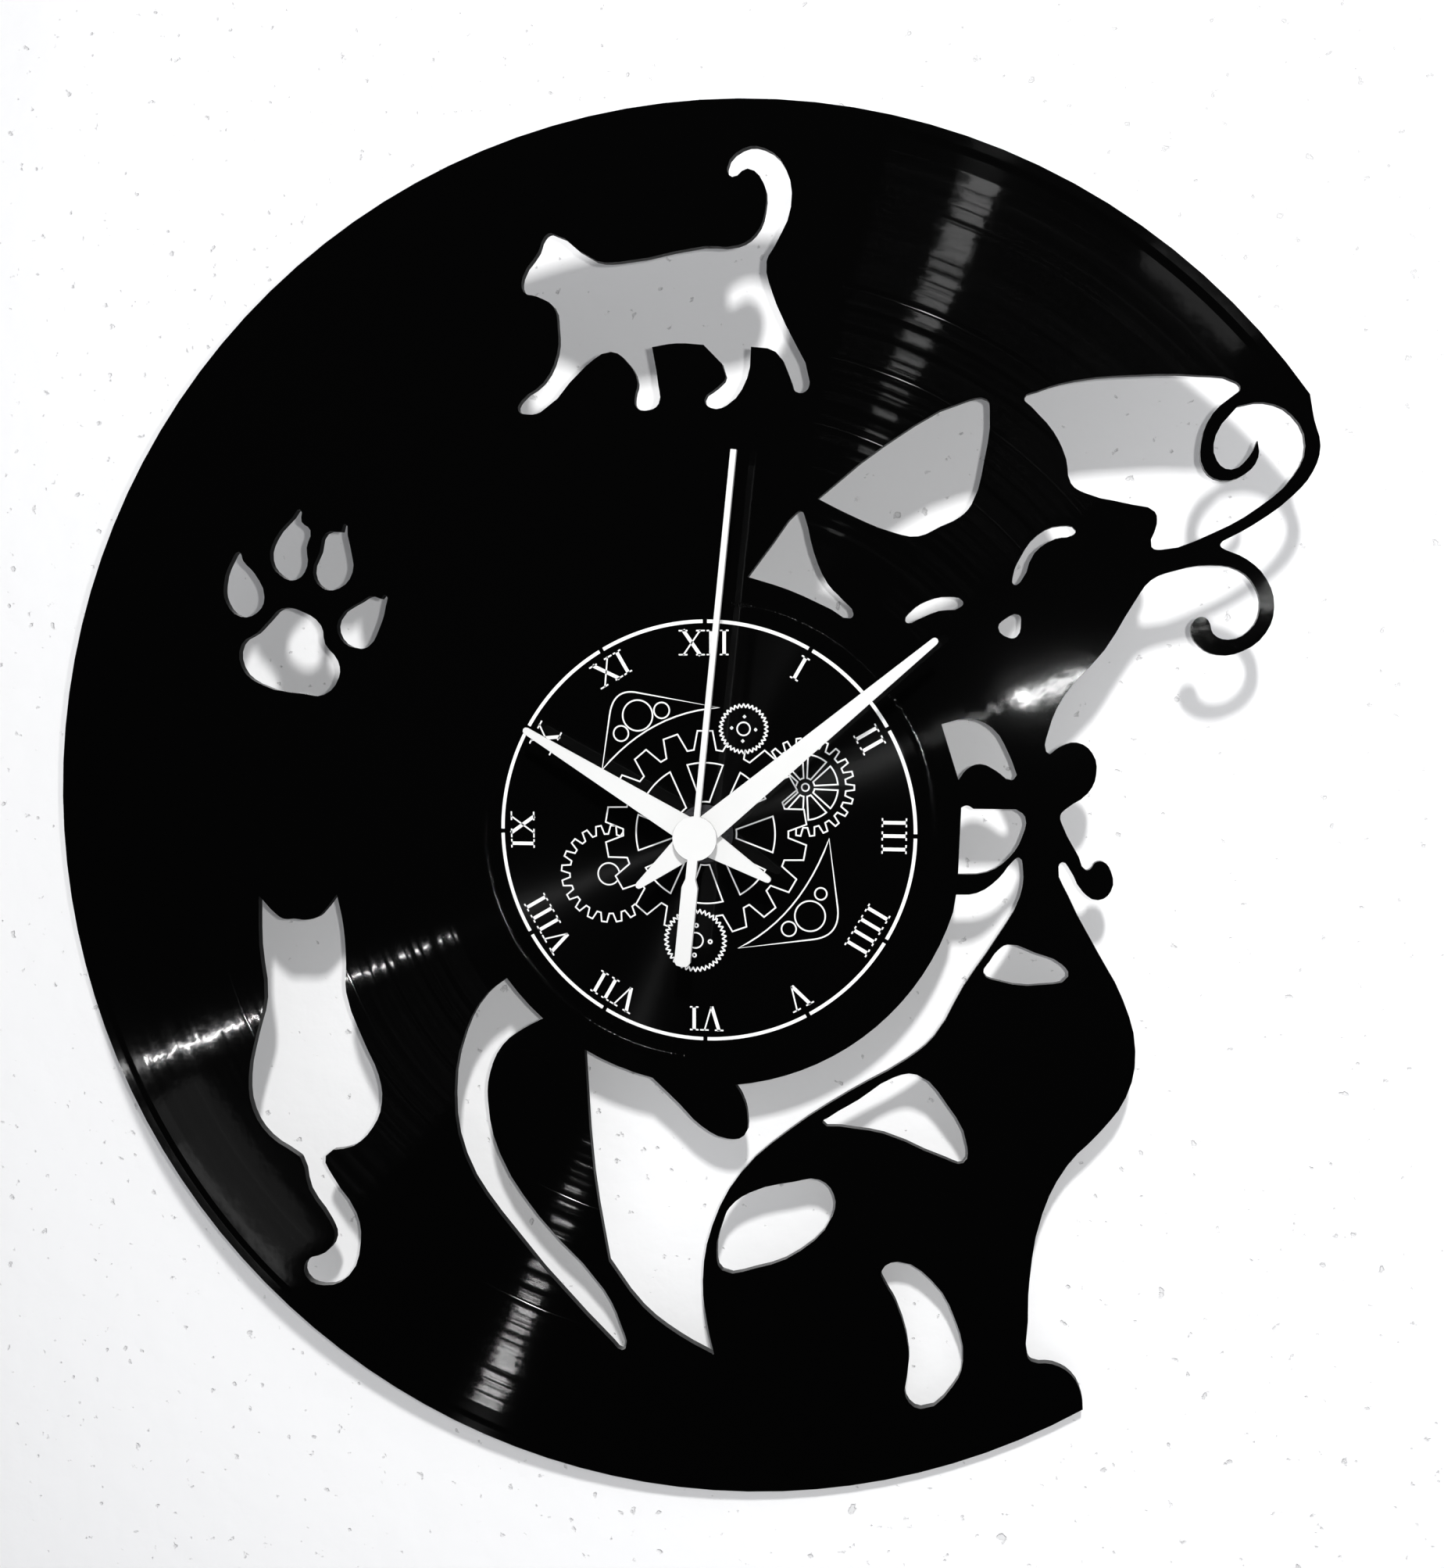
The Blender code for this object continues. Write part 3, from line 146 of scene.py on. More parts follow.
class Look:
    """A material whose node tree is built one node at a time."""

    def __init__(self, name, colour, roughness, **constants):
        self.material = bpy.data.materials.new(name)
        self.material.use_nodes = True
        self.tree = self.material.node_tree
        self.shader = self.tree.nodes["Principled BSDF"]
        self.set("Base Color", (*colour, 1.0))
        self.set("Roughness", roughness)
        for socket, value in constants.items():
            self.set(socket.replace("_", " "), value)

    def set(self, socket, value):
        if isinstance(value, bpy.types.NodeSocket):
            self.tree.links.new(value, self.shader.inputs[socket])
        else:
            self.shader.inputs[socket].default_value = value

    def node(self, kind, inputs=None, output=0, **settings):
        """A new node's output socket, once its settings and its inputs are in place."""
        node = self.tree.nodes.new(kind)
        for name, value in settings.items():
            setattr(node, name, value)
        for name, value in (inputs or {}).items():
            if isinstance(value, bpy.types.NodeSocket):
                self.tree.links.new(value, node.inputs[name])
            else:
                node.inputs[name].default_value = value
        return node.outputs[output]

    def place(self):
        return self.node("ShaderNodeTexCoord", output="Object")

    def math(self, operation, *values):
        return self.node("ShaderNodeMath", dict(enumerate(values)), operation=operation)

    def vector(self, operation, *values, output=0, **named):
        inputs = dict(enumerate(values)) | named
        return self.node("ShaderNodeVectorMath", inputs, output, operation=operation)

    def noise(self, scale, detail=4.0, vector=None):
        vector = vector or self.place()
        return self.node("ShaderNodeTexNoise", {"Vector": vector, "Scale": scale, "Detail": detail})

    def span(self, value, low, high, to_low=0.0, to_high=1.0, kind="LINEAR"):
        """The value's run from low to high, mapped to another run and held at its ends."""
        inputs = {0: value, 1: low, 2: high, 3: to_low, 4: to_high}
        return self.node("ShaderNodeMapRange", inputs, interpolation_type=kind)

    def mix(self, share, first, second):
        inputs = {0: share, 6: (*first, 1.0), 7: (*second, 1.0)}
        return self.node("ShaderNodeMix", inputs, output=2, data_type="RGBA")

    def bump(self, height, distance, strength=1.0, under=None):
        inputs = {"Height": height, "Distance": distance, "Strength": strength}
        if under:
            inputs["Normal"] = under
        return self.node("ShaderNodeBump", inputs)


def radius_from_axis(look):
    """The distance from the clock's axis, in mm, and the direction away from it."""
    flat = look.vector("MULTIPLY", look.place(), (1.0, 0.0, 1.0))
    length = look.vector("LENGTH", flat, output="Value")
    return look.math("DIVIDE", length, MM), look.vector("NORMALIZE", flat)


def around_ring(look, radius, ring, width):
    """1 on a ring of that radius and half width, in mm, falling to 0 beside it."""
    off = look.math("ABSOLUTE", look.math("SUBTRACT", radius, ring))
    return look.span(off, width, 0.0, kind="SMOOTHSTEP")


def groove_depth(look, radius, along):
    """How deep the grooves are, from 0 to 1: none in the gaps between tracks, more where it is loud."""
    loudness = look.span(look.noise(0.5, 8.0, along), 0.38, 0.66, 0.12, 1.0)
    played = look.math(
        "MULTIPLY",
        look.span(radius, GROOVES_START + 0.3, GROOVES_START - 0.3),
        look.span(radius, GROOVES_END - 0.5, GROOVES_END + 0.5),
    )
    for ring in TRACK_GAPS:
        played = look.math("SUBTRACT", played, around_ring(look, radius, ring, GAP_HALF))
    return look.math("MULTIPLY", look.math("MAXIMUM", played, 0.0), loudness)


def groove_lean(look, radius, away, dial):
    """What the grooves, and the fine lines under the dial, add to the surface's normal."""
    along = look.node("ShaderNodeCombineXYZ", {0: radius})
    lines = look.span(look.noise(2.5, 2.0, along), 0.4, 0.6, 0.2 * DIAL_TILT, DIAL_TILT)
    depth = groove_depth(look, radius, along)
    tilt = look.math("MULTIPLY_ADD", depth, GROOVE_TILT, look.math("MULTIPLY", dial, lines))
    wave = look.math("SINE", look.math("MULTIPLY", radius, math.tau / GROOVE_PITCH))
    outward = look.vector("SCALE", away, Scale=look.math("MULTIPLY", wave, tilt))
    side = look.vector("CROSS_PRODUCT", away, (0.0, 1.0, 0.0))
    drift = look.math("SUBTRACT", look.noise(0.35, 3.0, along), 0.5)
    sideways = look.vector("SCALE", side, Scale=look.math("MULTIPLY", drift, GROOVE_WANDER))
    return look.vector("ADD", outward, sideways)


def smooth_relief(look, radius):
    """The normal without grooves: a raised rim, ridges at the label and the track gaps, slight waves."""
    ridges = look.span(radius, RIM_BEAD - 1.2, RIM_BEAD + 0.6, kind="SMOOTHSTEP")
    for ring in (LABEL_RADIUS, *TRACK_GAPS):
        ridges = look.math("MULTIPLY_ADD", around_ring(look, radius, ring, 0.3), 0.2, ridges)
    chips = look.math("MULTIPLY", around_ring(look, radius, LABEL_RADIUS, 0.8), look.noise(1500.0, 2.0))
    shaped = look.bump(look.math("MULTIPLY_ADD", chips, 0.4, ridges), 0.2 * MM)
    waved = look.bump(look.noise(9.0, 2.0), 0.2 * MM, under=shaped)
    return look.bump(look.noise(110.0, 3.0), 0.018 * MM, under=waved)


def vinyl():
    """Black pressed vinyl. Its grooves are finer than a picture shows, so they tilt the surface by
    turns outwards and inwards, and light glints off them in narrow rays from the middle. Its smooth
    parts shine as a coat, and its cut edges are duller."""
    look = Look("vinyl", (0.001, 0.001, 0.001), 0.09, IOR=1.5, Anisotropic=1.0)
    radius, away = radius_from_axis(look)
    dial = look.span(radius, DIAL_RADIUS + 0.3, DIAL_RADIUS - 0.3)
    smooth = smooth_relief(look, radius)
    grooved = look.vector("ADD", smooth, groove_lean(look, radius, away, dial))
    look.set("Normal", look.vector("NORMALIZE", grooved))
    look.set("Tangent", away)

    facing = look.node("ShaderNodeNewGeometry", output="True Normal")
    facing = look.node("ShaderNodeSeparateXYZ", {0: facing}, output="Y")
    cut = look.span(look.math("ABSOLUTE", facing), 0.7, 0.4)
    pressed = look.span(dial, 0.0, 1.0, 0.07, 0.2)
    look.set("Roughness", look.math("MULTIPLY_ADD", cut, 0.7, pressed))
    look.set("Coat Weight", look.math("MULTIPLY_ADD", cut, -0.7, 0.7))
    look.set("Coat Roughness", 0.05)
    look.set("Coat Normal", smooth)
    look.set("Specular IOR Level", 0.3)
    return look.material


def print_white():
    """Matt white screen print, a little thinner in places."""
    look = Look("white_print", (0.86, 0.86, 0.85), 0.55)
    speckle = look.noise(900.0, 3.0)
    look.set("Base Color", look.mix(look.span(speckle, 0.3, 0.7), (0.8, 0.8, 0.79), (0.9, 0.9, 0.89)))
    look.set("Normal", look.bump(speckle, 0.01 * MM))
    return look.material


def painted(name, colour, other, roughness, grain):
    """Satin paint or moulding on a small part: a fine grain and a slight change to another tone."""
    look = Look(name, colour, roughness)
    tone = look.span(look.noise(45.0, 3.0), 0.3, 0.7)
    look.set("Base Color", look.mix(tone, colour, other))
    look.set("Roughness", look.span(look.noise(160.0), 0.3, 0.7, roughness - 0.06, roughness + 0.08))
    look.set("Normal", look.bump(look.noise(grain, 2.0), 0.012 * MM))
    return look.material


def moulded(name, colour, other, roughness, grain=1500.0, depth=0.02):
    """Plastic from a spark-eroded mould: an even fine texture, with faint flow marks."""
    look = Look(name, colour, roughness, IOR=1.49)
    flow = look.node("ShaderNodeTexNoise", {"Vector": look.place(), "Scale": 60.0, "Distortion": 1.5})
    look.set("Base Color", look.mix(look.span(flow, 0.35, 0.65), colour, other))
    texture = look.node("ShaderNodeTexVoronoi", {"Vector": look.place(), "Scale": grain})
    look.set("Normal", look.bump(texture, depth * MM))
    look.set("Roughness", look.span(flow, 0.3, 0.7, roughness - 0.05, roughness + 0.05))
    return look.material


def metal(name, colour, roughness, scratch=0.012, metallic=1.0):
    """Bare, plated or blackened metal with fine rolling scratches and a few duller patches."""
    look = Look(name, colour, roughness, Metallic=metallic)
    stretched = look.vector("MULTIPLY", look.place(), (1.0, 14.0, 14.0))
    scratches = look.noise(260.0, 6.0, stretched)
    look.set("Roughness", look.span(look.noise(70.0), 0.35, 0.7, roughness - 0.05, roughness + 0.14))
    look.set("Normal", look.bump(scratches, scratch * MM))
    return look.material


def threaded(name, colour, roughness, pitch):
    """Plated metal with a screw thread of that pitch, in mm, along the clock's axis."""
    look = Look(name, colour, roughness, Metallic=1.0)
    along = look.node("ShaderNodeSeparateXYZ", {0: look.place()}, output="Y")
    turns = look.math("SINE", look.math("MULTIPLY", along, math.tau / (pitch * MM)))
    look.set("Normal", look.bump(turns, 0.15 * MM))
    return look.material


def rubber():
    look = Look("rubber", (0.012, 0.012, 0.013), 0.7)
    look.set("Normal", look.bump(look.noise(700.0, 5.0), 0.05 * MM))
    look.set("Roughness", look.span(look.noise(120.0), 0.3, 0.7, 0.6, 0.8))
    return look.material


def wound_copper():
    """Enamelled wire: turns side by side along the bobbin."""
    look = Look("copper", (0.6, 0.2, 0.07), 0.3, Metallic=1.0, Coat_Weight=0.6)
    along = look.node("ShaderNodeSeparateXYZ", {0: look.place()}, output="X")
    turns = look.math("SINE", look.math("MULTIPLY", along, math.tau / (WIRE * MM)))
    look.set("Normal", look.bump(turns, 0.06 * MM))
    look.set("Base Color", look.mix(look.noise(90.0), (0.7, 0.26, 0.09), (0.45, 0.13, 0.04)))
    return look.material


def cell_sleeve():
    """A dry cell's shrunk sleeve: dark body, a coppery band at its positive end and two fine lines."""
    low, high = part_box("battery_cell")
    look = Look("cell_sleeve", (0.02, 0.05, 0.12), 0.28, Coat_Weight=0.5, Coat_Roughness=0.1)
    along = look.node("ShaderNodeSeparateXYZ", {0: look.place()}, output="X")
    band = look.span(along, high.x - 14.2 * MM, high.x - 14.0 * MM)
    line = look.math("ABSOLUTE", look.math("SUBTRACT", along, high.x - 16.5 * MM))
    line = look.span(line, 0.5 * MM, 0.4 * MM)
    bare = look.math(
        "ADD",
        look.span(along, high.x - 1.6 * MM, high.x - 1.5 * MM),
        look.span(along, low.x + 1.3 * MM, low.x + 1.2 * MM),
    )
    colour = look.mix(look.math("MAXIMUM", band, line), (0.02, 0.045, 0.11), (0.62, 0.27, 0.11))
    steel = look.node(
        "ShaderNodeMix", {0: bare, 6: colour, 7: (0.62, 0.62, 0.6, 1.0)}, output=2, data_type="RGBA"
    )
    look.set("Base Color", steel)
    look.set("Metallic", look.math("MAXIMUM", bare, look.math("MULTIPLY", band, 0.6)))
    look.set("Normal", look.bump(look.noise(120.0, 3.0), 0.04 * MM))
    return look.material


def circuit_board():
    """Thin glass-fibre board with green resist over darker copper tracks."""
    look = Look("board", (0.03, 0.16, 0.06), 0.35, Coat_Weight=0.4)
    inputs = {"Vector": look.place(), "Scale": 420.0}
    weave = look.node("ShaderNodeTexVoronoi", inputs, distance="CHEBYCHEV")
    look.set("Base Color", look.mix(look.span(weave, 0.2, 0.5), (0.02, 0.12, 0.045), (0.05, 0.24, 0.09)))
    look.set("Normal", look.bump(weave, 0.05 * MM))
    return look.material


def plaster():
    """A white plastered wall with small pits, whose colour is darkened as painted shade in them, and a
    slight unevenness.
    """
    look = Look("plaster", (0.93, 0.93, 0.93), 0.85)
    pits_and_painted_shade = look.span(look.noise(330.0, 4.0), 0.27, 0.33)
    # The pits' colour is darkened here: painted shade in the pits, on top of their real bump
    look.set("Base Color", look.mix(pits_and_painted_shade, (0.75, 0.75, 0.75), (0.93, 0.93, 0.93)))
    pitted = look.bump(pits_and_painted_shade, 0.6 * MM, 0.7)
    look.set("Normal", look.bump(look.noise(90.0, 4.0), 0.7 * MM, 0.7, under=pitted))
    return one_sided(look)


def one_sided(look):
    """The look's material, seen through from behind."""
    back = look.node("ShaderNodeNewGeometry", output="Backfacing")
    clear = look.node("ShaderNodeBsdfTransparent")
    surface = look.node("ShaderNodeMixShader", {0: back, 1: look.shader.outputs[0], 2: clear})
    look.tree.links.new(surface, look.tree.nodes["Material Output"].inputs["Surface"])
    return look.material


LOOKS = {
    "vinyl": vinyl(),
    "print": print_white(),
    "white_metal": painted("white_metal", (0.7, 0.7, 0.69), (0.66, 0.66, 0.65), 0.42, 1400.0),
    "white_plastic": painted("white_plastic", (0.7, 0.7, 0.69), (0.66, 0.66, 0.65), 0.36, 900.0),
    "case_plastic": moulded("case_plastic", (0.014, 0.014, 0.015), (0.02, 0.02, 0.021), 0.48),
    "wheel_plastic": moulded("wheel_plastic", (0.78, 0.77, 0.72), (0.68, 0.67, 0.61), 0.38),
    "knob_plastic": moulded("knob_plastic", (0.012, 0.012, 0.012), (0.02, 0.02, 0.02), 0.4),
    "steel": metal("steel", (0.62, 0.63, 0.64), 0.3),
    "brass": threaded("brass", (0.72, 0.5, 0.2), 0.25, THREAD),
    "dark_metal": metal("dark_metal", (0.07, 0.07, 0.075), 0.24, 0.006, 0.5),
    "rubber": rubber(),
    "board": circuit_board(),
    "epoxy": moulded("epoxy", (0.006, 0.006, 0.006), (0.01, 0.01, 0.01), 0.25, 400.0, 0.05),
    "magnet": metal("magnet", (0.16, 0.16, 0.17), 0.45),
    "copper": wound_copper(),
    "bobbin": moulded("bobbin", (0.62, 0.6, 0.54), (0.54, 0.51, 0.45), 0.45),
    "cell_sleeve": cell_sleeve(),
}


# ---------------------------------------------------------------- the CAD parts, with finer edges

# The rounding of each part's edges, in mm; a part that isn't named here gets the last one
EDGES = {
    "record_disc": 0.14,
    "front_case": 0.5,
    "back_cover": 0.35,
    "second_hand": 0.1,
    "minute_hand": 0.08,
    "hour_hand": 0.08,
    "hex_nut": 0.25,
    "dial_washer": 0.12,
    "hanger_plate": 0.12,
    "setting_knob": 0.25,
    "battery_cell": 0.35,
}
OTHER_EDGE = 0.06
WELD = 0.0005  # points closer than this are one, in mm
FLAT = math.radians(0.3)  # triangles that differ less than this are one face
CREASE = math.radians(32)


def whole_faces(source):
    """A mesh copy with its triangles joined into the flat faces they make."""
    mesh = source.data.copy()
    shape = bmesh.new()
    shape.from_mesh(mesh)
    bmesh.ops.remove_doubles(shape, verts=shape.verts, dist=WELD * MM)
    bmesh.ops.dissolve_limit(shape, angle_limit=FLAT, verts=shape.verts, edges=shape.edges)
    shape.to_mesh(mesh)
    shape.free()
    return mesh


def dressed(node):
    """A finer piece that stands for a CAD node: its own shape, with rounded edges and smooth shading."""
    source = frame["nodes"][node]
    slot = source.data.materials[0].name.split(".")[0]
    mesh = whole_faces(source)
    mesh.materials.clear()
    mesh.materials.append(LOOKS[slot])
    piece = bpy.data.objects.new(f"{node}_piece", mesh)
    bpy.context.scene.collection.objects.link(piece)
    mesh.shade_smooth()
    mesh.set_sharp_from_angle(angle=CREASE)
    edge = piece.modifiers.new("edges", "BEVEL")
    edge.width = EDGES.get(node, OTHER_EDGE) * MM
    edge.segments = 3
    edge.limit_method = "ANGLE"
    edge.angle_limit = CREASE
    edge.harden_normals = True
    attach(piece, source["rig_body"])
    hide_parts(node)


def dress_all():
    for node in sorted(frame["nodes"]):
        dressed(node)


# ---------------------------------------------------------------- the dial's print


def turned(radius, degrees, centre=(0.0, 0.0)):
    """The point at that radius and clock angle, clockwise from the top, in mm."""
    angle = math.radians(degrees)
    return Vector((centre[0] + radius * math.sin(angle), centre[1] + radius * math.cos(angle)))


def arc(radius, start, end, centre=(0.0, 0.0), step=0.6):
    """Points of an arc between two clock angles, about one step apart."""
    count = max(3, round(abs(math.radians(end - start)) * radius / step))
    return [turned(radius, start + (end - start) * i / count, centre) for i in range(count + 1)]


def circle(radius, centre=(0.0, 0.0)):
    return arc(radius, 0, 360, centre, step=0.3)[:-1]


def bend(start, pull, end, count=12):
    """Points of a curve that leaves start towards pull and comes to end from it."""
    start, pull, end = Vector(start), Vector(pull), Vector(end)
    shares = [i / count for i in range(count + 1)]
    return [(1 - t) ** 2 * start + 2 * t * (1 - t) * pull + t**2 * end for t in shares]


def across(direction):
    return Vector((-direction.y, direction.x))


def mitre(before, point, after):
    """How far to go sideways at a point of a path, for each unit of half width."""
    sides = [across((b - a).normalized()) for a, b in ((before, point), (point, after)) if a != b]
    total = sides[0] + sides[-1]
    return total / max(0.35, 1 + sides[0].dot(sides[-1]))


def add_line(shape, path, width, closed):
    """Adds a flat line of that width along a path in mm."""
    last = len(path) - 1
    rows = []
    for i, point in enumerate(path):
        before = path[i - 1] if closed or i > 0 else point
        after = path[(i + 1) % len(path)] if closed or i < last else point
        side = mitre(before, point, after) * width / 2
        row = [Vector((p.x, 0.0, p.y)) * MM for p in (point + side, point - side)]
        rows.append([shape.verts.new(corner) for corner in row])
    for i in range(len(path) if closed else last):
        (a, b), (c, d) = rows[i], rows[(i + 1) % len(path)]
        shape.faces.new((a, b, d, c))


def printed(name, lines):
    """A piece of the print: (path, width, closed) lines that lie on the record's front."""
    shape = bmesh.new()
    for path, width, closed in lines:
        add_line(shape, path, width, closed)
    made = bmesh.ops.extrude_face_region(shape, geom=shape.faces[:])["geom"]
    raised = [item for item in made if isinstance(item, bmesh.types.BMVert)]
    bmesh.ops.translate(shape, verts=raised, vec=(0.0, -PRINT_THICKNESS * MM, 0.0))
    bmesh.ops.translate(shape, verts=shape.verts, vec=(0.0, FRONT, 0.0))
    bmesh.ops.recalc_face_normals(shape, faces=shape.faces)
    mesh = bpy.data.meshes.new(name)
    shape.to_mesh(mesh)
    shape.free()
    mesh.materials.append(LOOKS["print"])
    piece = bpy.data.objects.new(name, mesh)
    bpy.context.scene.collection.objects.link(piece)
    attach(piece, "clock")


def hour_ring():
    half = RING_GAP / 2
    return [
        (arc(RING_RADIUS, hour * 30 + half, hour * 30 + 30 - half), RING_WIDTH, False)
        for hour in range(12)
    ]


def numeral_strokes(letters):
    """A Roman numeral's strokes as (start, end, width), drawn upright about its own middle."""
    middle = sum(LETTER_WIDTHS[letter] for letter in letters) / 2
    strokes, left, top = [], -middle, NUMERAL_HEIGHT
    for letter in letters:
        half = LETTER_WIDTHS[letter] / 2
        centre = left + half
        reach = half - SERIF / 2 + 0.1
        if letter == "I":
            strokes.append(((centre, 0), (centre, top), STEM))
            feet = [(centre, 0), (centre, top)]
        elif letter == "V":
            strokes.append(((centre - reach, top), (centre, 0), STEM))
            strokes.append(((centre + reach, top), (centre + 0.1, 0), HAIR))
            feet = [(centre - reach, top), (centre + reach, top)]
        else:
            strokes.append(((centre - reach, top), (centre + reach, 0), STEM))
            strokes.append(((centre + reach, top), (centre - reach, 0), HAIR))
            feet = [(centre + side * reach, level) for side in (-1, 1) for level in (0, top)]
        for foot, level in feet:
            inward = HAIR / 2 if level == 0 else -HAIR / 2
            strokes.append(((foot - SERIF / 2, level + inward), (foot + SERIF / 2, level + inward), HAIR))
        left += LETTER_WIDTHS[letter]
    return strokes


def numeral(hour, letters):
    """The lines of one numeral, with its foot towards the middle of the dial."""
    up = turned(1.0, hour * 30)
    right = turned(1.0, hour * 30 + 90)
    return [
        ([right * u + up * (NUMERAL_BASE + v) for u, v in (start, end)], width, False)
        for start, end, width in numeral_strokes(letters)
    ]


def gear(centre, teeth, root, tip, root_half, tip_half, phase=0.0):
    """A gear's outline. Its root and tip are radii, and each tooth has a half width at both, in mm."""
    path = []
    for tooth in range(teeth):
        middle = phase + 360.0 * tooth / teeth
        for radius, half in ((root, -root_half), (tip, -tip_half), (tip, tip_half), (root, root_half)):
            path.append(turned(radius, middle + math.degrees(half / radius), centre))
    return path


def windows(centre, count, inner, outer, inner_half, outer_half, phase=0.0):
    """The wedge-shaped openings between a wheel's spokes; their half widths are angles in degrees."""
    paths = []
    for i in range(count):
        middle = phase + 360.0 * i / count
        near = arc(inner, middle - inner_half, middle + inner_half, centre)
        far = arc(outer, middle + outer_half, middle - outer_half, centre)
        paths.append(near + far)
    return paths


def inside(outline, point):
    """Whether a point lies inside a closed outline."""
    found = False
    for a, b in zip(outline, outline[1:] + outline[:1]):
        if (a.y > point.y) != (b.y > point.y):
            if point.x < a.x + (b.x - a.x) * (point.y - a.y) / (b.y - a.y):
                found = not found
    return found


def finely(path, step=0.12):
    """A closed path with points no further apart than a step."""
    fine = []
    for a, b in zip(path, path[1:] + path[:1]):
        count = max(1, math.ceil((b - a).length / step))
        fine += [a.lerp(b, i / count) for i in range(count)]
    return fine


def behind(path, covers):
    """The runs of a closed path that no cover hides, as open paths."""
    fine = finely(path)
    shown = [not any(inside(cover, point) for cover in covers) for point in fine]
    if all(shown):
        return [(path, LINE, True)]
    start = shown.index(False)
    runs, run = [], []
    for i in range(start, start + len(fine) + 1):
        if shown[i % len(fine)]:
            run.append(fine[i % len(fine)])
        else:
            if len(run) > 2:
                runs.append((run, LINE, False))
            run = []
    return runs


def whole(paths):
    return [(path, LINE, True) for path in paths]


def dots(centre, distance, radius, count):
    """Small filled dots about a centre, each drawn as a ring as wide as its radius."""
    places = [turned(distance, 360.0 * i / count + 4, centre) for i in range(count)]
    return [(circle(radius / 2, place), radius, True) for place in places]


def print_gears():
    large_gear = gear((0, 0), 18, 18.2, 22.2, 2.45, 1.65)
    top_gear = gear(TOP_GEAR, 34, 4.6, 5.25, 0.42, 0.04)
    low_gear = gear(LOW_GEAR, 40, 6.05, 6.85, 0.47, 0.04)
    right_gear = gear(RIGHT_GEAR, 22, 8.7, 10.5, 0.75, 0.5, 8)
    left_gear = gear(LEFT_GEAR, 20, 8.8, 10.7, 0.95, 0.6, 6)

    large = behind(large_gear, [top_gear, low_gear])
    printed("large_gear", large + whole(windows((0, 0), 8, 6.9, 15.3, 8.0, 14.8)))
    printed("top_gear", whole([top_gear, circle(1.4, TOP_GEAR)]) + dots(TOP_GEAR, 2.6, 0.35, 4))
    low_holes = [circle(0.4, turned(3.3, 90.0 * i + 4, LOW_GEAR)) for i in range(4)]
    printed("low_gear", whole([low_gear, circle(1.7, LOW_GEAR), *low_holes]))
    spokes = windows(RIGHT_GEAR, 8, 2.0, 7.0, 12.0, 17.5, 22)
    shown = [line for path in [right_gear, *spokes] for line in behind(path, [large_gear])]
    printed("right_gear", shown + whole([circle(0.8, RIGHT_GEAR)]))
    hub = circle(2.4, LEFT_GEAR)
    printed("left_gear", behind(left_gear, [large_gear]) + behind(hub, [large_gear]))


def print_plates():
    upper = [Vector((-22.8, 13.6)), *bend((-21.0, 25.5), (-20.2, 31.0), (-15.4, 30.4))]
    upper += bend((3.2, 27.1), (-11.8, 26.2), (-22.8, 13.6))[:-1]
    upper_holes = [circle(3.3, (-14.8, 25.4)), circle(1.7, (-9.5, 26.5)), circle(1.65, (-18.5, 21.5))]
    printed("upper_plate", whole([upper, *upper_holes]))
    lower = [Vector((27.0, -0.8)), *bend((29.0, -15.8), (29.6, -21.9), (23.6, -22.7))]
    lower += bend((7.3, -25.0), (20.8, -18.0), (27.0, -0.8))[:-1]
    lower_holes = [circle(3.3, (23.0, -17.6)), circle(1.3, (25.3, -12.7)), circle(1.6, (18.4, -20.5))]
    printed("lower_plate", whole([lower, *lower_holes]))


def print_dial():
    printed("hour_ring", hour_ring())
    for hour, letters in enumerate(NUMERALS):
        printed(f"numeral_{hour or 12}", numeral(hour, letters))
    print_gears()
    print_plates()


# ---------------------------------------------------------------- wall, floor, light and camera


def plane(name, width, height, material, **placement):
    """A flat piece of the surroundings, made in its own X and Y."""
    shape = bmesh.new()
    bmesh.ops.create_grid(shape, x_segments=1, y_segments=1, size=0.5)
    bmesh.ops.scale(shape, verts=shape.verts, vec=(width, height, 1.0))
    mesh = bpy.data.meshes.new(name)
    shape.to_mesh(mesh)
    shape.free()
    mesh.materials.append(material)
    obj = bpy.data.objects.new(name, mesh)
    bpy.context.scene.collection.objects.link(obj)
    for attribute, value in placement.items():
        setattr(obj, attribute, value)
    return obj


def make_surroundings():
    """A wall that the clock leans on, by its movement's lower right corner, and a floor far below."""
    case_low, case_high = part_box("front_case")
    rise, run = math.tan(math.radians(WALL_LEAN)), math.tan(math.radians(WALL_TURN))
    wall_y = WALL_GAP - rise * case_low.z - run * case_high.x
    turn = Vector((run, -1.0, rise)).to_track_quat("Z", "Y").to_euler()
    place = (0.0, wall_y, 0.0)
    wall = plane("wall", WALL_SIZE, WALL_SIZE, plaster(), location=place, rotation_euler=turn)
    wall.visible_shadow = False
    pale = Look("pale_floor", (0.8, 0.8, 0.8), 0.7)
    pale.set("Normal", pale.bump(pale.noise(90.0), 0.3 * MM))
    floor = plane("floor", WALL_SIZE, WALL_SIZE / 2, one_sided(pale), location=FLOOR_PLACE)
    floor.visible_glossy = False


def aim(place, target):
    return (Vector(target) - Vector(place)).to_track_quat("-Z", "Y").to_euler()


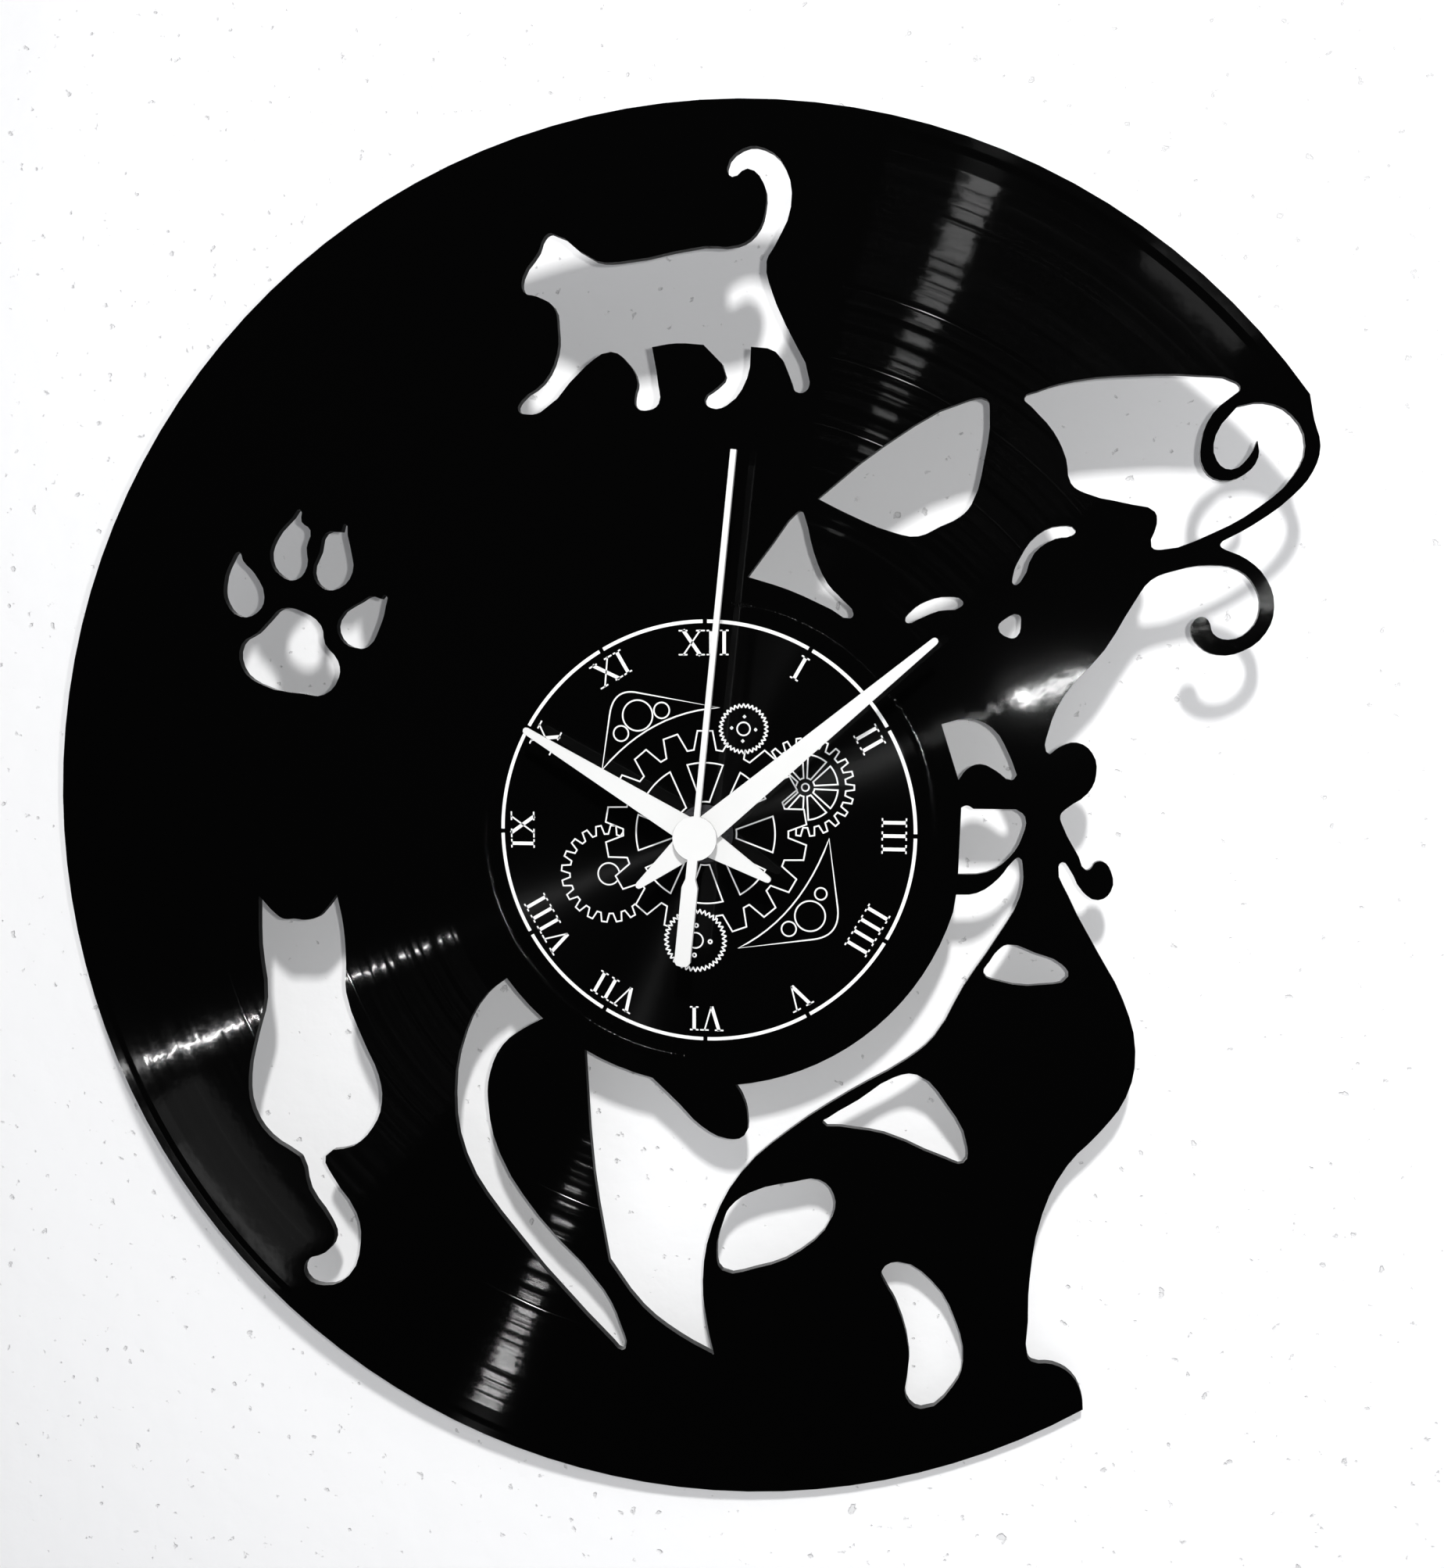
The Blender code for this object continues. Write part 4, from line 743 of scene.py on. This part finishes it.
def add_light(name, place, target, power, size, height=None, shown="both"):
    """A rectangular light, or a round one without a height. One shown as "glint" only makes
    highlights, and one shown as "shade" makes none."""
    light = bpy.data.lights.new(name, "AREA")
    light.energy = power
    light.shape = "RECTANGLE" if height else "DISK"
    light.size = size
    if height:
        light.size_y = height
    obj = bpy.data.objects.new(name, light)
    bpy.context.scene.collection.objects.link(obj)
    obj.location = place
    obj.rotation_euler = aim(place, target)
    obj.visible_diffuse = shown != "glint"
    obj.visible_glossy = shown != "shade"
    return obj


def add_glint(name, radius, degrees, reach, power, width, length):
    """A light that only makes highlights. The camera sees it mirrored in the record's front at that
    radius, in mm, and clock angle, and its length lies along the radius."""
    flat = turned(radius, degrees) * MM
    outward = Vector((flat.x, 0.0, flat.y))
    spot = Vector((flat.x, FRONT, flat.y))
    mirrored_camera = Vector((CAMERA_PLACE[0], 2 * FRONT - CAMERA_PLACE[1], CAMERA_PLACE[2]))
    away = (spot - mirrored_camera).normalized()
    sideways = outward.cross(away).normalized()
    light = add_light(name, spot + away * reach, spot, power, width, length, shown="glint")
    light.rotation_euler = Matrix((sideways, away.cross(sideways), away)).transposed().to_euler()


def make_lights():
    centre = (0.0, 0.0, 0.0)
    add_light("lamp", LAMP_PLACE, centre, 2.9, 0.03, 0.05, shown="shade")
    add_light("flash", FLASH_PLACE, centre, 0.42, 0.005, shown="shade")
    for name, settings in GLINTS.items():
        add_glint(name, *settings)
    add_light("back_fill", BACK_LIGHT_PLACE, centre, 60.0, 1.2, 1.2)
    world = bpy.data.worlds.new("studio")
    world.use_nodes = True
    sky = world.node_tree.nodes["Background"]
    sky.inputs["Color"].default_value = SKY_COLOUR
    sky.inputs["Strength"].default_value = SKY_STRENGTH
    world.cycles_visibility.glossy = False
    bpy.context.scene.world = world


def make_camera():
    data = bpy.data.cameras.new("camera")
    data.lens = CAMERA_LENS
    data.shift_y = CAMERA_SHIFT
    data.clip_start = 0.01
    camera = bpy.data.objects.new("camera", data)
    bpy.context.scene.collection.objects.link(camera)
    camera.location = CAMERA_PLACE
    camera.rotation_euler = [math.radians(angle) for angle in CAMERA_TURN]
    bpy.context.scene.camera = camera


bpy.context.scene.view_settings.view_transform = "Standard"
make_camera()
make_surroundings()
make_lights()
dress_all()
print_dial()
